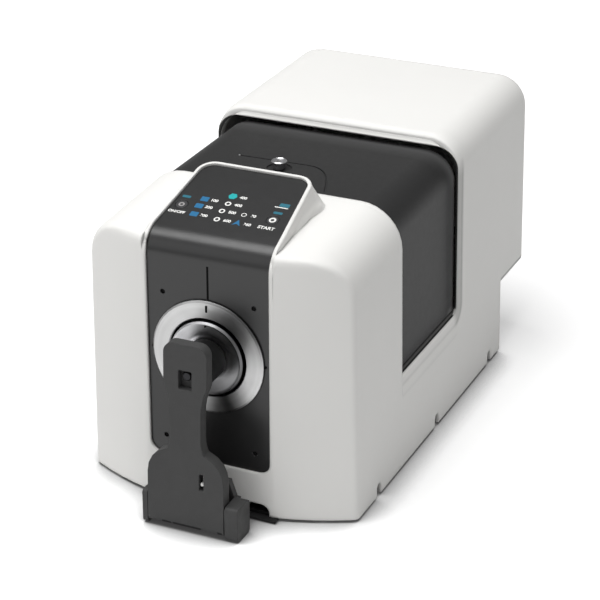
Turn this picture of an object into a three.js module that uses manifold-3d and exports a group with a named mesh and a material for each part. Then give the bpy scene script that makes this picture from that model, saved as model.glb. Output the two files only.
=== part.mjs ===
// Bench color spectrophotometer: one moulded cover over a sheet metal chassis, a sliding
// chamber lid, a measuring port with its rings and a spring-loaded sample holder in front.
// Millimetres. X is the width, the front faces -Y, Z is up and the bench is at z = 0.
import * as THREE from 'three';
import { mergeVertices } from 'three/addons/utils/BufferGeometryUtils.js';
import Module from 'manifold-3d';

const wasm = await Module();
wasm.setup();

// Driving dimensions of the whole instrument; heights stack up from the measuring port
const coverWidth = 248;
const coverLength = 352;
const overhang = 73;
const portHeight = 141;
const bendRise = 102.6;
const housingOverBend = 2.4;
const hoodStep = 13;
const lidDrop = 16;
const coverBottom = 3;
const sideDraftShare = 0.02;
const wall = 3;
const gap = 0.3;
const overrun = 6;
const hoodRear = coverLength + overhang;
const bendHeight = portHeight + bendRise;
const housingTop = bendHeight + housingOverBend;
const hoodTop = housingTop + hoodStep;
const lidTop = hoodTop - lidDrop;

// Front housing: bowed face, sloping top, large shoulders
const housingRear = 99;
const housingTopDrop = 6.5;
const housingShoulder = 37;
const housingBow = 32.7;
const housingCorner = 4;
const housingTopEdge = 6;
const housingTopWall = 2.5;

// Measuring port from its middle outwards: aperture, target mask, black gap, outer ring
const apertureRadius = 12.7;
const cupRadius = 17.5;
const cupMargin = 0.7;
const maskReliefRadius = cupRadius + cupMargin;
const maskReliefDepth = 0.2;
const maskLand = 2.8;
const maskDishRadius = maskReliefRadius + maskLand;
const maskCone = 11.8;
const maskOuter = maskDishRadius + maskCone;
const maskProud = 6.2;
const maskDishDepth = 4;
const maskBack = 3;
const maskLedge = 7.4;
const maskSpigotOuter = maskOuter - maskLedge;
const maskSpigotLength = 9;
const ringShadow = 2.2;
const ringInner = maskOuter + ringShadow;
const ringProud = 3.6;
const ringLedge = 4.6;
const ringSpigotInner = ringInner + ringLedge;
const ringSpigotWall = 3.9;
const ringSpigotOuter = ringSpigotInner + ringSpigotWall;
const ringSpigotLength = 9;
const ringBorder = 6.9;
const ringOuter = ringSpigotOuter + ringBorder;

// Flat front strip, its bend and the sloping status panel
const ringSide = 4.6;
const stripHalf = ringOuter + ringSide;
const stripFace = 24;
const stripBottom = 42.8;
const stripCorner = 10;
const stripThickness = 2.5;
const stripGap = 0.35;
const panelSlope = THREE.MathUtils.degToRad(16.15);
const bendRadius = 21.5;
const bendSetback = bendRadius * (1 - Math.sin(panelSlope));
const panelLength = 85;
const panelTaper = 6;
const panelTopHalf = stripHalf - panelTaper;
const panelCorner = 12;
const rimWidth = 3.5;
const rimProud = 2;

// Opening for the lid, its rounded rim, the hood and the overhang
const hoodFront = 236;
const hoodShoulder = 29;
const hoodRearRound = 14;
const rimBelowPort = 51;
const rimTop = portHeight - rimBelowPort;
const rimSideDrop = 2;
const rimSideReach = 26;
const rimTopDrop = 3.5;
const rimTopReach = 4;
const rimWall = 9.5;
const rimCorner = 8;
const rimDepth = 10;
const overhangBelowRim = 15.6;
const overhangBottom = rimTop - overhangBelowRim;
const lowWallHeight = 58;

// Chamber lid, the hood's mouth round it, and the knob
const lidInset = 7;
const lidHalf = coverWidth / 2 - lidInset;
const lidRunning = 1;
const lidShoulder = hoodShoulder - lidRunning;
const lidWall = 3;
const lidBottom = rimTop + lidRunning;
const lidTuck = 5;
const lidHoodLap = 5;
const mouthSideGap = 3;
const mouthTopGap = 8.5;
const lidOpenLength = hoodFront - housingRear;
const grooveShares = [[-0.502, 0.437], [0.067, 0.452], [0.24, 0.459], [0.377, 0.083]];
const grooveWidth = 1.8;
const grooveDepth = 1;
const knobX = -14.3;
const knobSetback = 46.7;
const knobY = housingRear + knobSetback;
const knobHeight = 8;
const knobTopRadius = 7;
const knobBaseRadius = 4.9;
const knobStemRadius = 2.5;
const knobDishRadius = 11;
const knobDishDepth = 1.2;

// Sample holder
const armReach = 49;
const armLean = 7;
const armAxisDepth = 9.5;
const armHeadRise = 29;
const armHalf = 34.8;
const armBottomFront = -stripFace - armReach;
const armTopFront = armBottomFront + armLean;
const holderAxisY = armBottomFront + armAxisDepth;
const holderAxisZ = 11;
const armThickness = 9.5;
const armTop = portHeight + armHeadRise;
const armNeckHalf = 14;
const armHeadHalf = 19.5;
const barrelRadius = 9.2;
const pinRadius = 2.5;
const earClearance = 0.5;
const earRightThickness = 12.2;
const earLeftThickness = 4.7;
const earInner = armHalf + earClearance;
const earOuterRight = earInner + earRightThickness;
const earOuterLeft = earInner + earLeftThickness;
const windowHalf = 6;
const windowSag = 2.2;
const windowMiddle = portHeight - windowSag;
const windowHeight = 17;
const windowDepth = 5.5;
const slotX = 14.5;
const slotBottom = 42.3;
const slotHeight = 14.9;
const slotHalf = 2.1;
const lockPinRise = 5.1;
const lockPinHeight = slotBottom + lockPinRise;
const catchPlateHalf = 4;
const catchPlateHeight = 8;
const catchPlateThickness = 2;
const cupFrontGap = 0.5;
const cupStemRadius = 3;
const tongueInset = 0.8;
const tongueHalf = armHalf - tongueInset;
const tongueThickness = 5;
const tongueBottom = 7;
const tongueTop = tongueBottom + tongueThickness;

// Chassis, its lip in the front notch, the feet and the rear panel
const chassisInset = 6;
const chassisHalf = coverWidth / 2 - chassisInset;
const chassisRear = coverLength - chassisInset;
const chassisFront = 4;
const chassisPlateBottom = coverBottom + gap;
const chassisPlateThickness = 2.4;
const tongueHeadroom = 1.6;
const frontNotchHalf = 54.7;
const frontNotchTop = tongueTop + tongueHeadroom;
const frontNotchCorner = 8;
const lipHalf = 62;
const lipProud = 7;
const lipFront = -stripFace - lipProud;
const lipLap = 4;
const lipRear = chassisFront + lipLap;
const lipBottom = 0.8;
const lipThickness = coverBottom - gap - lipBottom;
const apronClearance = 0.7;
const apronHalf = frontNotchHalf - apronClearance;
const apronSetback = 1;
const apronFront = apronSetback - stripFace;
const footRadius = 9;
const footInset = 20;
const footX = chassisHalf - footInset;
const footFrontSetback = 22;
const footRearSetback = 24;
const footFrontY = chassisFront + footFrontSetback;
const footRearY = chassisRear - footRearSetback;
const rearPanelInset = 14;
const rearPanelLap = 6;
const rearPanelHemLap = 4;
const rearPanelHalf = chassisHalf - rearPanelInset;
const rearPanelBottom = 8;
const rearPanelTop = 66;

// Bulkhead behind the port, integrating sphere and transmittance chamber
const bulkheadSetback = 15;
const bulkheadFront = bulkheadSetback - stripFace;
const bulkheadThickness = 3;
const hubWall = 6.6;
const hubClearance = 5;
const hubLap = 2;
const hubNeck = maskSpigotOuter + hubWall;
const bulkheadBore = hubNeck + hubClearance;
const hubFlange = bulkheadBore + hubLap;
const hubFlangeThickness = 4;
const bulkheadInset = 22;
const bulkheadDrop = 33.6;
const bulkheadHalf = chassisHalf - bulkheadInset;
const bulkheadTop = bendHeight - bulkheadDrop;
const sphereRadius = 80;
const sphereWall = 4;
const sphereNose = 4;
const sphereY = bulkheadFront - sphereNose + sphereRadius;
const sphereFlange = 8;
const sphereFlangeThickness = 5;
const chamberFrontGap = 5;
const chamberRearGap = 10;
const chamberFront = sphereY + sphereRadius + chamberFrontGap;
const chamberRear = hoodFront - chamberRearGap;

// Round shapes get their facets from these counts
const shoulderSteps = 8;
const bowSteps = 16;
const cornerSteps = 4;
const roundSides = 48;
const smallSides = 16;
const sphereSteps = 5;

const halfWidthAt = (z) => coverWidth / 2 - sideDraftShare * (z - coverBottom);

// Closed geometry with shared vertices, no empty triangles and outward faces
function weld(geometry) {
  const bare = geometry.clone();
  bare.deleteAttribute('normal');
  bare.deleteAttribute('uv');
  const merged = mergeVertices(bare);
  const place = merged.getAttribute('position');
  const source = merged.getIndex().array;
  const kept = [];
  let volume = 0;
  const a = new THREE.Vector3();
  const b = new THREE.Vector3();
  const c = new THREE.Vector3();
  for (let i = 0; i < source.length; i += 3) {
    const [p, q, r] = [source[i], source[i + 1], source[i + 2]];
    if (p === q || q === r || r === p) continue;
    kept.push(p, q, r);
    a.fromBufferAttribute(place, p);
    b.fromBufferAttribute(place, q);
    c.fromBufferAttribute(place, r);
    volume += a.dot(b.cross(c));
  }
  if (volume < 0) {
    for (let i = 0; i < kept.length; i += 3) [kept[i + 1], kept[i + 2]] = [kept[i + 2], kept[i + 1]];
  }
  merged.setIndex(kept);
  return merged;
}

function solid(geometry) {
  const closed = weld(geometry);
  const vertProperties = new Float32Array(closed.getAttribute('position').array);
  const triVerts = new Uint32Array(closed.getIndex().array);
  return new wasm.Manifold(new wasm.Mesh({ numProp: 3, vertProperties, triVerts }));
}

function geometryOf(body) {
  const mesh = body.getMesh();
  const geometry = new THREE.BufferGeometry();
  const places = new Float32Array(mesh.numVert * 3);
  for (let i = 0; i < mesh.numVert; i++) {
    for (let k = 0; k < 3; k++) places[i * 3 + k] = mesh.vertProperties[i * mesh.numProp + k];
  }
  geometry.setAttribute('position', new THREE.BufferAttribute(places, 3));
  geometry.setIndex(Array.from(mesh.triVerts));
  geometry.computeVertexNormals();
  return geometry;
}

const joined = (...bodies) => bodies.reduce((sum, body) => sum.add(body));
const cut = (body, ...tools) => tools.reduce((left, tool) => left.subtract(tool), body);

// Box from its lowest to its highest corner
function block(x0, x1, y0, y1, z0, z1) {
  const geometry = new THREE.BoxGeometry(x1 - x0, y1 - y0, z1 - z0);
  geometry.translate((x0 + x1) / 2, (y0 + y1) / 2, (z0 + z1) / 2);
  return solid(geometry);
}

const shapeOf = (points) => new THREE.Shape(points.map(([u, v]) => new THREE.Vector2(u, v)));

// Outline in X and Y, extruded up
function prismZ(shape, z0, z1, curveSegments = cornerSteps / 2) {
  const geometry = new THREE.ExtrudeGeometry(shape, { depth: z1 - z0, bevelEnabled: false, curveSegments });
  geometry.translate(0, 0, z0);
  return solid(geometry);
}

// Outline in X and Z, extruded along Y
function prismY(shape, y0, y1, curveSegments = cornerSteps / 2) {
  const geometry = new THREE.ExtrudeGeometry(shape, { depth: y1 - y0, bevelEnabled: false, curveSegments });
  geometry.rotateX(Math.PI / 2);
  geometry.translate(0, y1, 0);
  return solid(geometry);
}

// Outline in Y and Z, extruded along X
function prismX(shape, x0, x1, curveSegments = cornerSteps / 2) {
  const geometry = new THREE.ExtrudeGeometry(shape, { depth: x1 - x0, bevelEnabled: false, curveSegments });
  const axes = new THREE.Matrix4().makeBasis(
    new THREE.Vector3(0, 1, 0), new THREE.Vector3(0, 0, 1), new THREE.Vector3(1, 0, 0));
  geometry.applyMatrix4(axes);
  geometry.translate(x0, 0, 0);
  return solid(geometry);
}

// Rounded rectangle centred on u, v
function roundedShape(u, v, halfU, halfV, radius) {
  const shape = new THREE.Shape();
  shape.absarc(u + halfU - radius, v + halfV - radius, radius, 0, Math.PI / 2);
  shape.absarc(u - halfU + radius, v + halfV - radius, radius, Math.PI / 2, Math.PI);
  shape.absarc(u - halfU + radius, v - halfV + radius, radius, Math.PI, Math.PI * 1.5);
  shape.absarc(u + halfU - radius, v - halfV + radius, radius, Math.PI * 1.5, Math.PI * 2);
  shape.closePath();
  return shape;
}

// Profile of [radius, place along the axis], turned about an axis through the given point
function turned(profile, axis, [x, y, z], sides = roundSides) {
  const loop = profile.map(([r, a]) => new THREE.Vector2(r, a));
  const [first, last] = [loop[0], loop[loop.length - 1]];
  if (first.x > 0 || last.x > 0) loop.push(first.clone());
  const geometry = new THREE.LatheGeometry(loop, sides);
  if (axis === 'z') geometry.rotateX(Math.PI / 2);
  if (axis === 'x') geometry.rotateZ(-Math.PI / 2);
  geometry.translate(x, y, z);
  return solid(geometry);
}

const rod = (radius, from, to, axis, place, sides = smallSides) =>
  turned([[0, from], [radius, from], [radius, to], [0, to]], axis, place, sides);

// Skin over rings of equal length, closed by a flat cap at each end
function loft(rings) {
  const count = rings[0].length;
  const places = rings.flat(2);
  const faces = [];
  for (let r = 0; r + 1 < rings.length; r++) {
    for (let i = 0; i < count; i++) {
      const a = r * count + i;
      const b = r * count + (i + 1) % count;
      faces.push(a, b, b + count, a, b + count, a + count);
    }
  }
  const first = rings[0];
  const spread = [0, 1, 2].map((k) => Math.max(...first.map((p) => p[k])) - Math.min(...first.map((p) => p[k])));
  const flat = spread.indexOf(Math.min(...spread));
  const [u, v] = [0, 1, 2].filter((k) => k !== flat);
  for (const [ring, start] of [[first, 0], [rings[rings.length - 1], (rings.length - 1) * count]]) {
    const outline = ring.map((p) => new THREE.Vector2(p[u], p[v]));
    const clockwise = THREE.ShapeUtils.isClockWise(outline);
    const order = outline.map((_, i) => (clockwise ? count - 1 - i : i));
    for (const tri of THREE.ShapeUtils.triangulateShape(order.map((i) => outline[i]), [])) {
      const corners = tri.map((t) => start + order[t]);
      const turn = (start === 0) === clockwise;
      faces.push(corners[0], corners[turn ? 1 : 2], corners[turn ? 2 : 1]);
    }
  }
  const geometry = new THREE.BufferGeometry();
  geometry.setAttribute('position', new THREE.Float32BufferAttribute(places, 3));
  geometry.setIndex(faces);
  return solid(geometry);
}

// Arch section from the lower left up over the top to the lower right,
// with the outward direction and how far each point is round the shoulder
function archSection(half, bottom, top, radius, sideHeights = []) {
  const right = [];
  for (const z of [bottom, ...sideHeights]) {
    right.push({ x: half - sideDraftShare * (z - coverBottom), z, nx: 1, nz: 0, share: 0 });
  }
  const centreZ = top - radius;
  const centreX = half - sideDraftShare * (centreZ - coverBottom) - radius;
  for (let i = 0; i <= shoulderSteps; i++) {
    const share = i / shoulderSteps;
    const angle = share * Math.PI / 2;
    const nx = Math.cos(angle);
    const nz = Math.sin(angle);
    right.push({ x: centreX + radius * nx, z: centreZ + radius * nz, nx, nz, share });
  }
  const left = right.map((p) => ({ ...p, x: -p.x, nx: -p.nx })).reverse();
  return [...right, ...left];
}

const archShape = (half, bottom, top, radius) =>
  shapeOf(archSection(half, bottom, top, radius).map((p) => [p.x, p.z]));

// Front housing, built up from plan outlines: a bowed face, small vertical corners,
// side walls with draft, round shoulders and a top that falls towards the front
function housingLoft(side, front, topWall, rear, bottom) {
  const bowRadius = (coverWidth ** 2 / 4 + housingBow ** 2) / (2 * housingBow);
  const bowCentre = bowRadius - housingBow;
  const top = housingTop - topWall;
  const shoulder = housingShoulder - topWall;
  const levels = [{ z: bottom, sideInset: 0, frontInset: 0 }];
  for (let i = 0; i <= shoulderSteps; i++) {
    const angle = (i / shoulderSteps) * Math.PI / 2;
    const z = top - shoulder + shoulder * Math.sin(angle);
    const over = Math.max(0, z - (top - housingTopEdge));
    const frontInset = housingTopEdge - Math.sqrt(Math.max(0, housingTopEdge ** 2 - over ** 2));
    levels.push({ z, sideInset: shoulder * (1 - Math.cos(angle)), frontInset });
  }
  return loft(levels.map(({ z, sideInset, frontInset }) => {
    const half = halfWidthAt(z) - side - sideInset;
    const corner = housingCorner + sideInset / 3;
    const bowAt = (x) => bowCentre - Math.sqrt(bowRadius ** 2 - x ** 2) + front + frontInset;
    const plan = [[half, rear]];
    const turnStart = [half, bowAt(half) + corner];
    const turnEnd = [half - corner, bowAt(half - corner)];
    const turnApex = [half, bowAt(half)];
    for (let i = 0; i <= cornerSteps; i++) {
      const t = i / cornerSteps;
      const blend = (k) => (1 - t) ** 2 * turnStart[k] + 2 * t * (1 - t) * turnApex[k] + t ** 2 * turnEnd[k];
      plan.push([blend(0), blend(1)]);
    }
    for (let i = 1; i < bowSteps; i++) {
      const x = (half - corner) * (1 - 2 * i / bowSteps);
      plan.push([x, bowAt(x)]);
    }
    for (let i = cornerSteps + 1; i >= 0; i--) plan.push([-plan[i][0], plan[i][1]]);
    return plan.map(([x, y]) => {
      const fall = housingTopDrop * (housingRear - y) / (housingRear + stripFace);
      return [x, y, z - fall * (z - bottom) / (housingTop - bottom)];
    });
  }));
}

// Places on the status panel: s runs up the slope from the end of the bend, h stands out of it
const slopeY = Math.cos(panelSlope);
const slopeZ = Math.sin(panelSlope);
const bendStartY = bendSetback - stripFace;
const onPanel = (x, s, h) => [x, bendStartY + s * slopeY - h * slopeZ, bendHeight + s * slopeZ + h * slopeY];
const panelHalfAt = (s) => stripHalf - (stripHalf - panelTopHalf) * Math.max(0, s) / panelLength;

// Outline on the panel with round rear corners, grown by given amounts behind and in front
function panelOutline(start, grow, height, frontGrow = grow) {
  const end = panelLength + grow;
  const corner = panelCorner + grow;
  const right = [[panelHalfAt(0) + frontGrow, start], [panelHalfAt(0) + frontGrow, 0]];
  const centre = [panelTopHalf + grow - corner, end - corner];
  for (let i = 0; i <= shoulderSteps; i++) {
    const angle = (i / shoulderSteps) * Math.PI / 2;
    right.push([centre[0] + corner * Math.cos(angle), centre[1] + corner * Math.sin(angle)]);
  }
  const left = right.map(([x, s]) => [-x, s]).reverse();
  return [...right, ...left].map(([x, s]) => onPanel(x, s, height));
}

const panelBlock = (start, grow, low, high) => loft([panelOutline(start, grow, low), panelOutline(start, grow, high)]);

// Side profile that follows the strip, its bend and the panel at an offset
function stripPath(offset, bottom, end) {
  const bendCentreY = bendRadius - stripFace;
  const bendCentreZ = bendHeight - bendRadius * slopeY;
  const radius = bendRadius + offset;
  const points = [[-stripFace - offset, bottom]];
  const sweep = Math.PI / 2 - panelSlope;
  for (let i = 0; i <= shoulderSteps; i++) {
    const angle = Math.PI - (i / shoulderSteps) * sweep;
    points.push([bendCentreY + radius * Math.cos(angle), bendCentreZ + radius * Math.sin(angle)]);
  }
  const [, endY, endZ] = onPanel(0, end, offset);
  points.push([endY, endZ]);
  return points;
}

// Front view of the strip, with round lower corners
function stripBlock(grow, y0, y1) {
  const top = bendHeight;
  const half = stripHalf + grow;
  const bottom = stripBottom - grow;
  const corner = stripCorner + grow;
  const shape = new THREE.Shape();
  shape.moveTo(half, top);
  shape.lineTo(-half, top);
  shape.absarc(-half + corner, bottom + corner, corner, Math.PI, Math.PI * 1.5);
  shape.absarc(half - corner, bottom + corner, corner, Math.PI * 1.5, Math.PI * 2);
  shape.closePath();
  return prismY(shape, y0, y1, shoulderSteps / 2);
}

// Moulded cover: front housing, low side walls, hood with overhang, all one skin
function makeCover() {
  const front = housingLoft(0, 0, 0, housingRear, coverBottom);
  const domeHalf = stripHalf + rimWidth;
  const rimFace = stripFace + rimProud;
  const path = stripPath(rimProud, 0, panelLength + rimWidth + overrun);
  const [lastY] = path[path.length - 1];
  const behindPath = prismX(shapeOf([...path, [lastY, 0]]), -domeHalf * 2, domeHalf * 2);
  const bendCorner = cut(
    block(-domeHalf, domeHalf, -rimFace - housingBow, 0, bendHeight - bendRadius * 2, bendHeight * 2), behindPath);
  const flatFace = block(-domeHalf, domeHalf, -housingBow * 2, -rimFace, 0, hoodTop);
  const dome = makeDome().intersect(behindPath);
  const outer = joined(cut(front, bendCorner, flatFace), dome, makeRearSkin());

  const chin = block(-domeHalf, domeHalf, -housingBow * 2, wall - rimFace, -overrun * 2, hoodTop);
  const inner = cut(housingLoft(wall, wall, housingTopWall, housingRear + overrun, -overrun), chin);
  const lower = block(-coverWidth / 2 + wall + gap, coverWidth / 2 - wall - gap,
    housingRear / 2, coverLength - wall, -overrun, lowWallHeight);
  const rimInside = coverWidth / 2 - rimWall;
  const upper = block(-rimInside, rimInside, housingRear / 2, coverLength - wall, 0, rimTop + overrun);
  const hoodHollow = (inset, end) => prismY(archShape(coverWidth / 2 - inset, overhangBottom + inset,
    hoodTop - inset, hoodShoulder - inset), hoodFront + rimDepth, end);
  const hoodInside = joined(hoodHollow(wall, hoodRear - hoodRearRound),
    hoodHollow(hoodRearRound, hoodRear - wall));
  const mouthShape = archShape(lidHalf + mouthSideGap, rimTop, lidTop + mouthTopGap, lidShoulder);
  const mouth = prismY(mouthShape, hoodFront - rimCorner - overrun, hoodFront + rimDepth + overrun);
  const tuckShape = archShape(lidHalf + lidRunning, rimTop, lidTop + lidRunning, lidShoulder + lidRunning);
  const tuck = prismY(tuckShape, housingRear - lidTuck - lidRunning, housingRear + overrun);
  const stripWindow = stripBlock(stripGap, -stripFace * 2, 0);
  const panelWindow = panelBlock(-bendRadius, stripGap, -housingBow, housingBow);
  return cut(outer, inner, lower, upper, hoodInside, mouth, tuck, stripWindow, panelWindow, ...coverNotches());
}

// Raised block round the status panel; its sides lean outwards below the rim
function makeDome() {
  const rimRoundShare = 0.3;
  const edge = rimProud * rimRoundShare;
  const levels = [
    { grow: rimWidth + panelCorner, height: -housingBow },
    { grow: rimWidth + panelCorner / 3, height: -panelCorner },
    { grow: rimWidth + rimProud / 2, height: -rimWidth },
    { grow: rimWidth, height: rimProud - edge },
    { grow: rimWidth - edge, height: rimProud },
  ];
  return loft(levels.map(({ grow, height }) => panelOutline(-housingBow, grow, height, Math.min(grow, rimWidth))));
}

// Skin behind the front housing: sections along Y whose outline draws in at the lid opening
function makeRearSkin() {
  const rimHeightShares = [0, 0.3, 0.55, 0.8, 1];
  const sideShares = [0.25, 0.6];
  const mouthShares = [0, 0.35, 0.7];
  const reachShares = [0, 0.06, 0.15, 0.3, 0.5, 0.75, 1];
  const rearShares = [0, 0.4, 0.7, 0.9, 1];
  const rimHeights = rimHeightShares.map((share) => rimTop - rimSideReach * (1 - share));
  const sideTop = hoodTop - hoodShoulder;
  const heights = [...rimHeights, ...sideShares.map((share) => rimTop + (sideTop - rimTop) * share)];
  const section = archSection(coverWidth / 2, coverBottom, hoodTop, hoodShoulder, heights);
  const rearStart = hoodRear - hoodRearRound;
  const stations = [housingRear - overrun, housingRear];
  for (const share of mouthShares) stations.push(hoodFront - rimCorner * (1 - share));
  for (const share of reachShares) stations.push(hoodFront + rimSideReach * share);
  for (const share of rearShares) stations.push(rearStart + hoodRearRound * share);
  const insetAt = (y, point) => {
    if (y < housingRear) return gap;
    if (y > rearStart) return hoodRearRound - Math.sqrt(Math.max(0, hoodRearRound ** 2 - (y - rearStart) ** 2));
    const drop = rimSideDrop + (rimTopDrop - rimSideDrop) * point.share;
    const reach = rimSideReach + (rimTopReach - rimSideReach) * point.share;
    const along = Math.max(0, y - hoodFront + rimCorner);
    const below = Math.max(0, rimTop + rimCorner - point.z);
    const t = Math.min(1, Math.max(0, Math.hypot(along, below) - rimCorner) / reach);
    return drop * (1 - t) ** 2;
  };
  const skin = loft(stations.map((y) => section.map((point) => {
    const inset = insetAt(y, point);
    return [point.x - point.nx * inset, y, point.z - point.nz * inset];
  })));
  const opening = new THREE.Shape();
  opening.moveTo(0, rimTop);
  opening.lineTo(hoodFront - rimCorner, rimTop);
  opening.absarc(hoodFront - rimCorner, rimTop + rimCorner, rimCorner, -Math.PI / 2, 0);
  opening.lineTo(hoodFront, hoodTop * 2);
  opening.lineTo(0, hoodTop * 2);
  opening.closePath();
  const lidOpening = prismX(opening, -coverWidth, coverWidth);
  const underHood = block(-coverWidth, coverWidth, coverLength, hoodRear + overrun, 0, overhangBottom);
  return cut(skin, lidOpening, underHood);
}

// Arched notches along the lower edge and the connector opening in the rear wall
const sideNotchHalf = 4.5;
const sideNotchTop = 14;
const sideNotchShares = [0.1307, 0.52, 0.915];
const rearOpeningHalf = rearPanelHalf - rearPanelLap;
const rearOpeningBottom = rearPanelBottom + rearPanelHemLap;
const rearOpeningTop = rearPanelTop - rearPanelHemLap;
const rearOpeningCorner = 4;

function coverNotches() {
  const archUp = (u, half, top, corner) => {
    const shape = new THREE.Shape();
    shape.moveTo(u - half, -overrun);
    shape.lineTo(u + half, -overrun);
    shape.absarc(u + half - corner, top - corner, corner, 0, Math.PI / 2);
    shape.absarc(u - half + corner, top - corner, corner, Math.PI / 2, Math.PI);
    shape.closePath();
    return shape;
  };
  const front = prismY(archUp(0, frontNotchHalf, frontNotchTop, frontNotchCorner), -housingBow * 2, 0);
  const sides = sideNotchShares.map((share) =>
    prismX(archUp(coverLength * share, sideNotchHalf, sideNotchTop, sideNotchHalf), -coverWidth, coverWidth));
  const middle = (rearOpeningBottom + rearOpeningTop) / 2;
  const rear = prismY(roundedShape(0, middle, rearOpeningHalf, rearOpeningTop - middle, rearOpeningCorner),
    coverLength - wall - overrun, coverLength + overrun);
  return [front, ...sides, rear];
}

// Black front piece: vertical plate, bend and sloping panel in one thin sheet
const plateHoleInset = 13.9;
const plateHoleSetUp = 16.2;
const plateHoleRise = 50.8;
const plateHoleX = stripHalf - plateHoleInset;
const plateHoleLow = stripBottom + plateHoleSetUp;
const plateHoleHigh = portHeight + plateHoleRise;
const plateHoleRadius = 2.2;
const buttonRadius = 5.2;
const buttonClearance = 0.4;
const buttonHole = buttonRadius + buttonClearance;
const buttonS = 29;
const powerInset = 10.7;
const measureInset = 17;
const powerX = powerInset - stripHalf;
const measureX = stripHalf - measureInset;

function makeFascia() {
  const outer = stripPath(0, stripBottom - overrun, panelLength + overrun);
  const inner = stripPath(-stripThickness, stripBottom - overrun, panelLength + overrun).reverse();
  const sheet = prismX(shapeOf([...outer, ...inner]), -stripHalf, stripHalf);
  const outline = joined(stripBlock(0, -stripFace * 2, 0), panelBlock(-bendRadius, 0, -bendRadius, bendRadius));
  const port = rod(ringSpigotOuter + gap, -stripFace * 2, 0, 'y', [0, 0, portHeight], roundSides);
  const screwHoles = [-plateHoleX, plateHoleX].flatMap((x) => [plateHoleLow, plateHoleHigh].map((z) =>
    rod(plateHoleRadius, -stripFace * 2, 0, 'y', [x, 0, z])));
  const keyHoles = [powerX, measureX].map((x) => onPanelRod(x, buttonS, buttonHole, -overrun, overrun));
  return cut(sheet.intersect(outline), port, ...screwHoles, ...keyHoles);
}

// Rod that stands square on the status panel
function onPanelRod(x, s, radius, low, high, sides = smallSides) {
  const geometry = new THREE.CylinderGeometry(radius, radius, high - low, sides);
  geometry.translate(0, (low + high) / 2, 0);
  geometry.rotateX(Math.PI / 2 + panelSlope);
  const [, y, z] = onPanel(0, s, 0);
  geometry.translate(x, y, z);
  return solid(geometry);
}

// Keys set flush in the panel, each with a shoulder below it
const buttonTravel = 0.6;
const buttonShoulder = 1.2;
const buttonShoulderLap = 1.8;
const buttonShoulderRadius = buttonRadius + buttonShoulderLap;

function makeButton(x) {
  const cap = onPanelRod(x, buttonS, buttonRadius, -stripThickness - buttonShoulder, 0);
  const low = -stripThickness - buttonShoulder - gap;
  const shoulder = onPanelRod(x, buttonS, buttonShoulderRadius, low, -stripThickness - gap);
  return joined(cap, shoulder);
}

// Circuit board under the status panel
const boardThickness = 1.6;
const statusBoardInset = 7;
const statusBoardHalf = stripHalf - statusBoardInset;
const statusBoardStart = 8;
const statusBoardShort = 9;
const statusBoardEnd = panelLength - statusBoardShort;
const statusBoardClearance = 0.8;
const statusBoardDrop = stripThickness + buttonShoulder + gap + buttonTravel + statusBoardClearance;

function makeStatusBoard() {
  const corners = [[statusBoardHalf, statusBoardStart], [statusBoardHalf, statusBoardEnd],
    [-statusBoardHalf, statusBoardEnd], [-statusBoardHalf, statusBoardStart]];
  const at = (h) => corners.map(([x, s]) => onPanel(x, s, h));
  return loft([at(-statusBoardDrop - boardThickness), at(-statusBoardDrop)]);
}

// Turned rings round the measuring port; y runs into the instrument
const ringEdge = 0.8;

function makeOuterRing() {
  const back = -stripFace - gap;
  const face = -stripFace - ringProud;
  return turned([
    [ringInner, back], [ringInner, face + ringEdge], [ringInner + ringEdge, face],
    [ringOuter - ringEdge * 2, face + ringEdge / 2], [ringOuter, face + ringEdge * 2], [ringOuter, back],
    [ringSpigotOuter, back], [ringSpigotOuter, back + ringSpigotLength],
    [ringSpigotInner, back + ringSpigotLength], [ringSpigotInner, back],
  ], 'y', [0, 0, portHeight]);
}

function makeTargetMask() {
  const face = -stripFace - maskProud;
  const dish = face + maskDishDepth;
  const back = -stripFace + maskBack;
  const relief = dish + maskReliefDepth;
  return turned([
    [apertureRadius, relief + ringEdge], [apertureRadius + ringEdge, relief], [maskReliefRadius, relief],
    [maskReliefRadius + maskReliefDepth, dish], [maskDishRadius, dish],
    [maskOuter - ringEdge * 2, face], [maskOuter, face + ringEdge * 2], [maskOuter, back],
    [maskSpigotOuter, back], [maskSpigotOuter, back + maskSpigotLength],
    [apertureRadius + wall, back + maskSpigotLength], [apertureRadius, back],
  ], 'y', [0, 0, portHeight]);
}

// Black hub behind the rings, screwed to the bulkhead
function makePortHub() {
  const face = -stripFace + maskBack + gap;
  const bore = maskSpigotOuter + gap;
  const back = bulkheadFront - gap;
  return turned([
    [bore, face], [hubNeck, face], [hubNeck, back - hubFlangeThickness], [hubFlange, back - hubFlangeThickness],
    [hubFlange, back], [bore, back],
  ], 'y', [0, 0, portHeight]);
}

// Front bulkhead with the port bore and two side flanges
const bulkheadFlange = 14;

function makeBulkhead() {
  const low = chassisPlateBottom + chassisPlateThickness + gap;
  const back = bulkheadFront + bulkheadThickness;
  const plate = block(-bulkheadHalf, bulkheadHalf, bulkheadFront, back, low, bulkheadTop);
  const flanges = [-1, 1].map((side) => {
    const edge = side * bulkheadHalf;
    const inner = side * (bulkheadHalf - bulkheadThickness);
    return block(Math.min(edge, inner), Math.max(edge, inner), bulkheadFront, back + bulkheadFlange, low, bulkheadTop);
  });
  const bore = rod(bulkheadBore, bulkheadFront - overrun, back + overrun, 'y', [0, 0, portHeight], roundSides);
  const tongueNotch = block(-tongueHalf - gap, tongueHalf + gap, bulkheadFront - overrun, back + overrun,
    0, tongueTop + gap);
  const pads = [-plateHoleX, plateHoleX].flatMap((x) => [plateHoleLow, plateHoleHigh].map((z) =>
    rod(plateHoleRadius * 2, -stripFace + stripThickness + gap, bulkheadFront + gap, 'y', [x, 0, z], smallSides)));
  return cut(joined(plate, ...flanges, ...pads), bore, tongueNotch);
}

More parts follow.
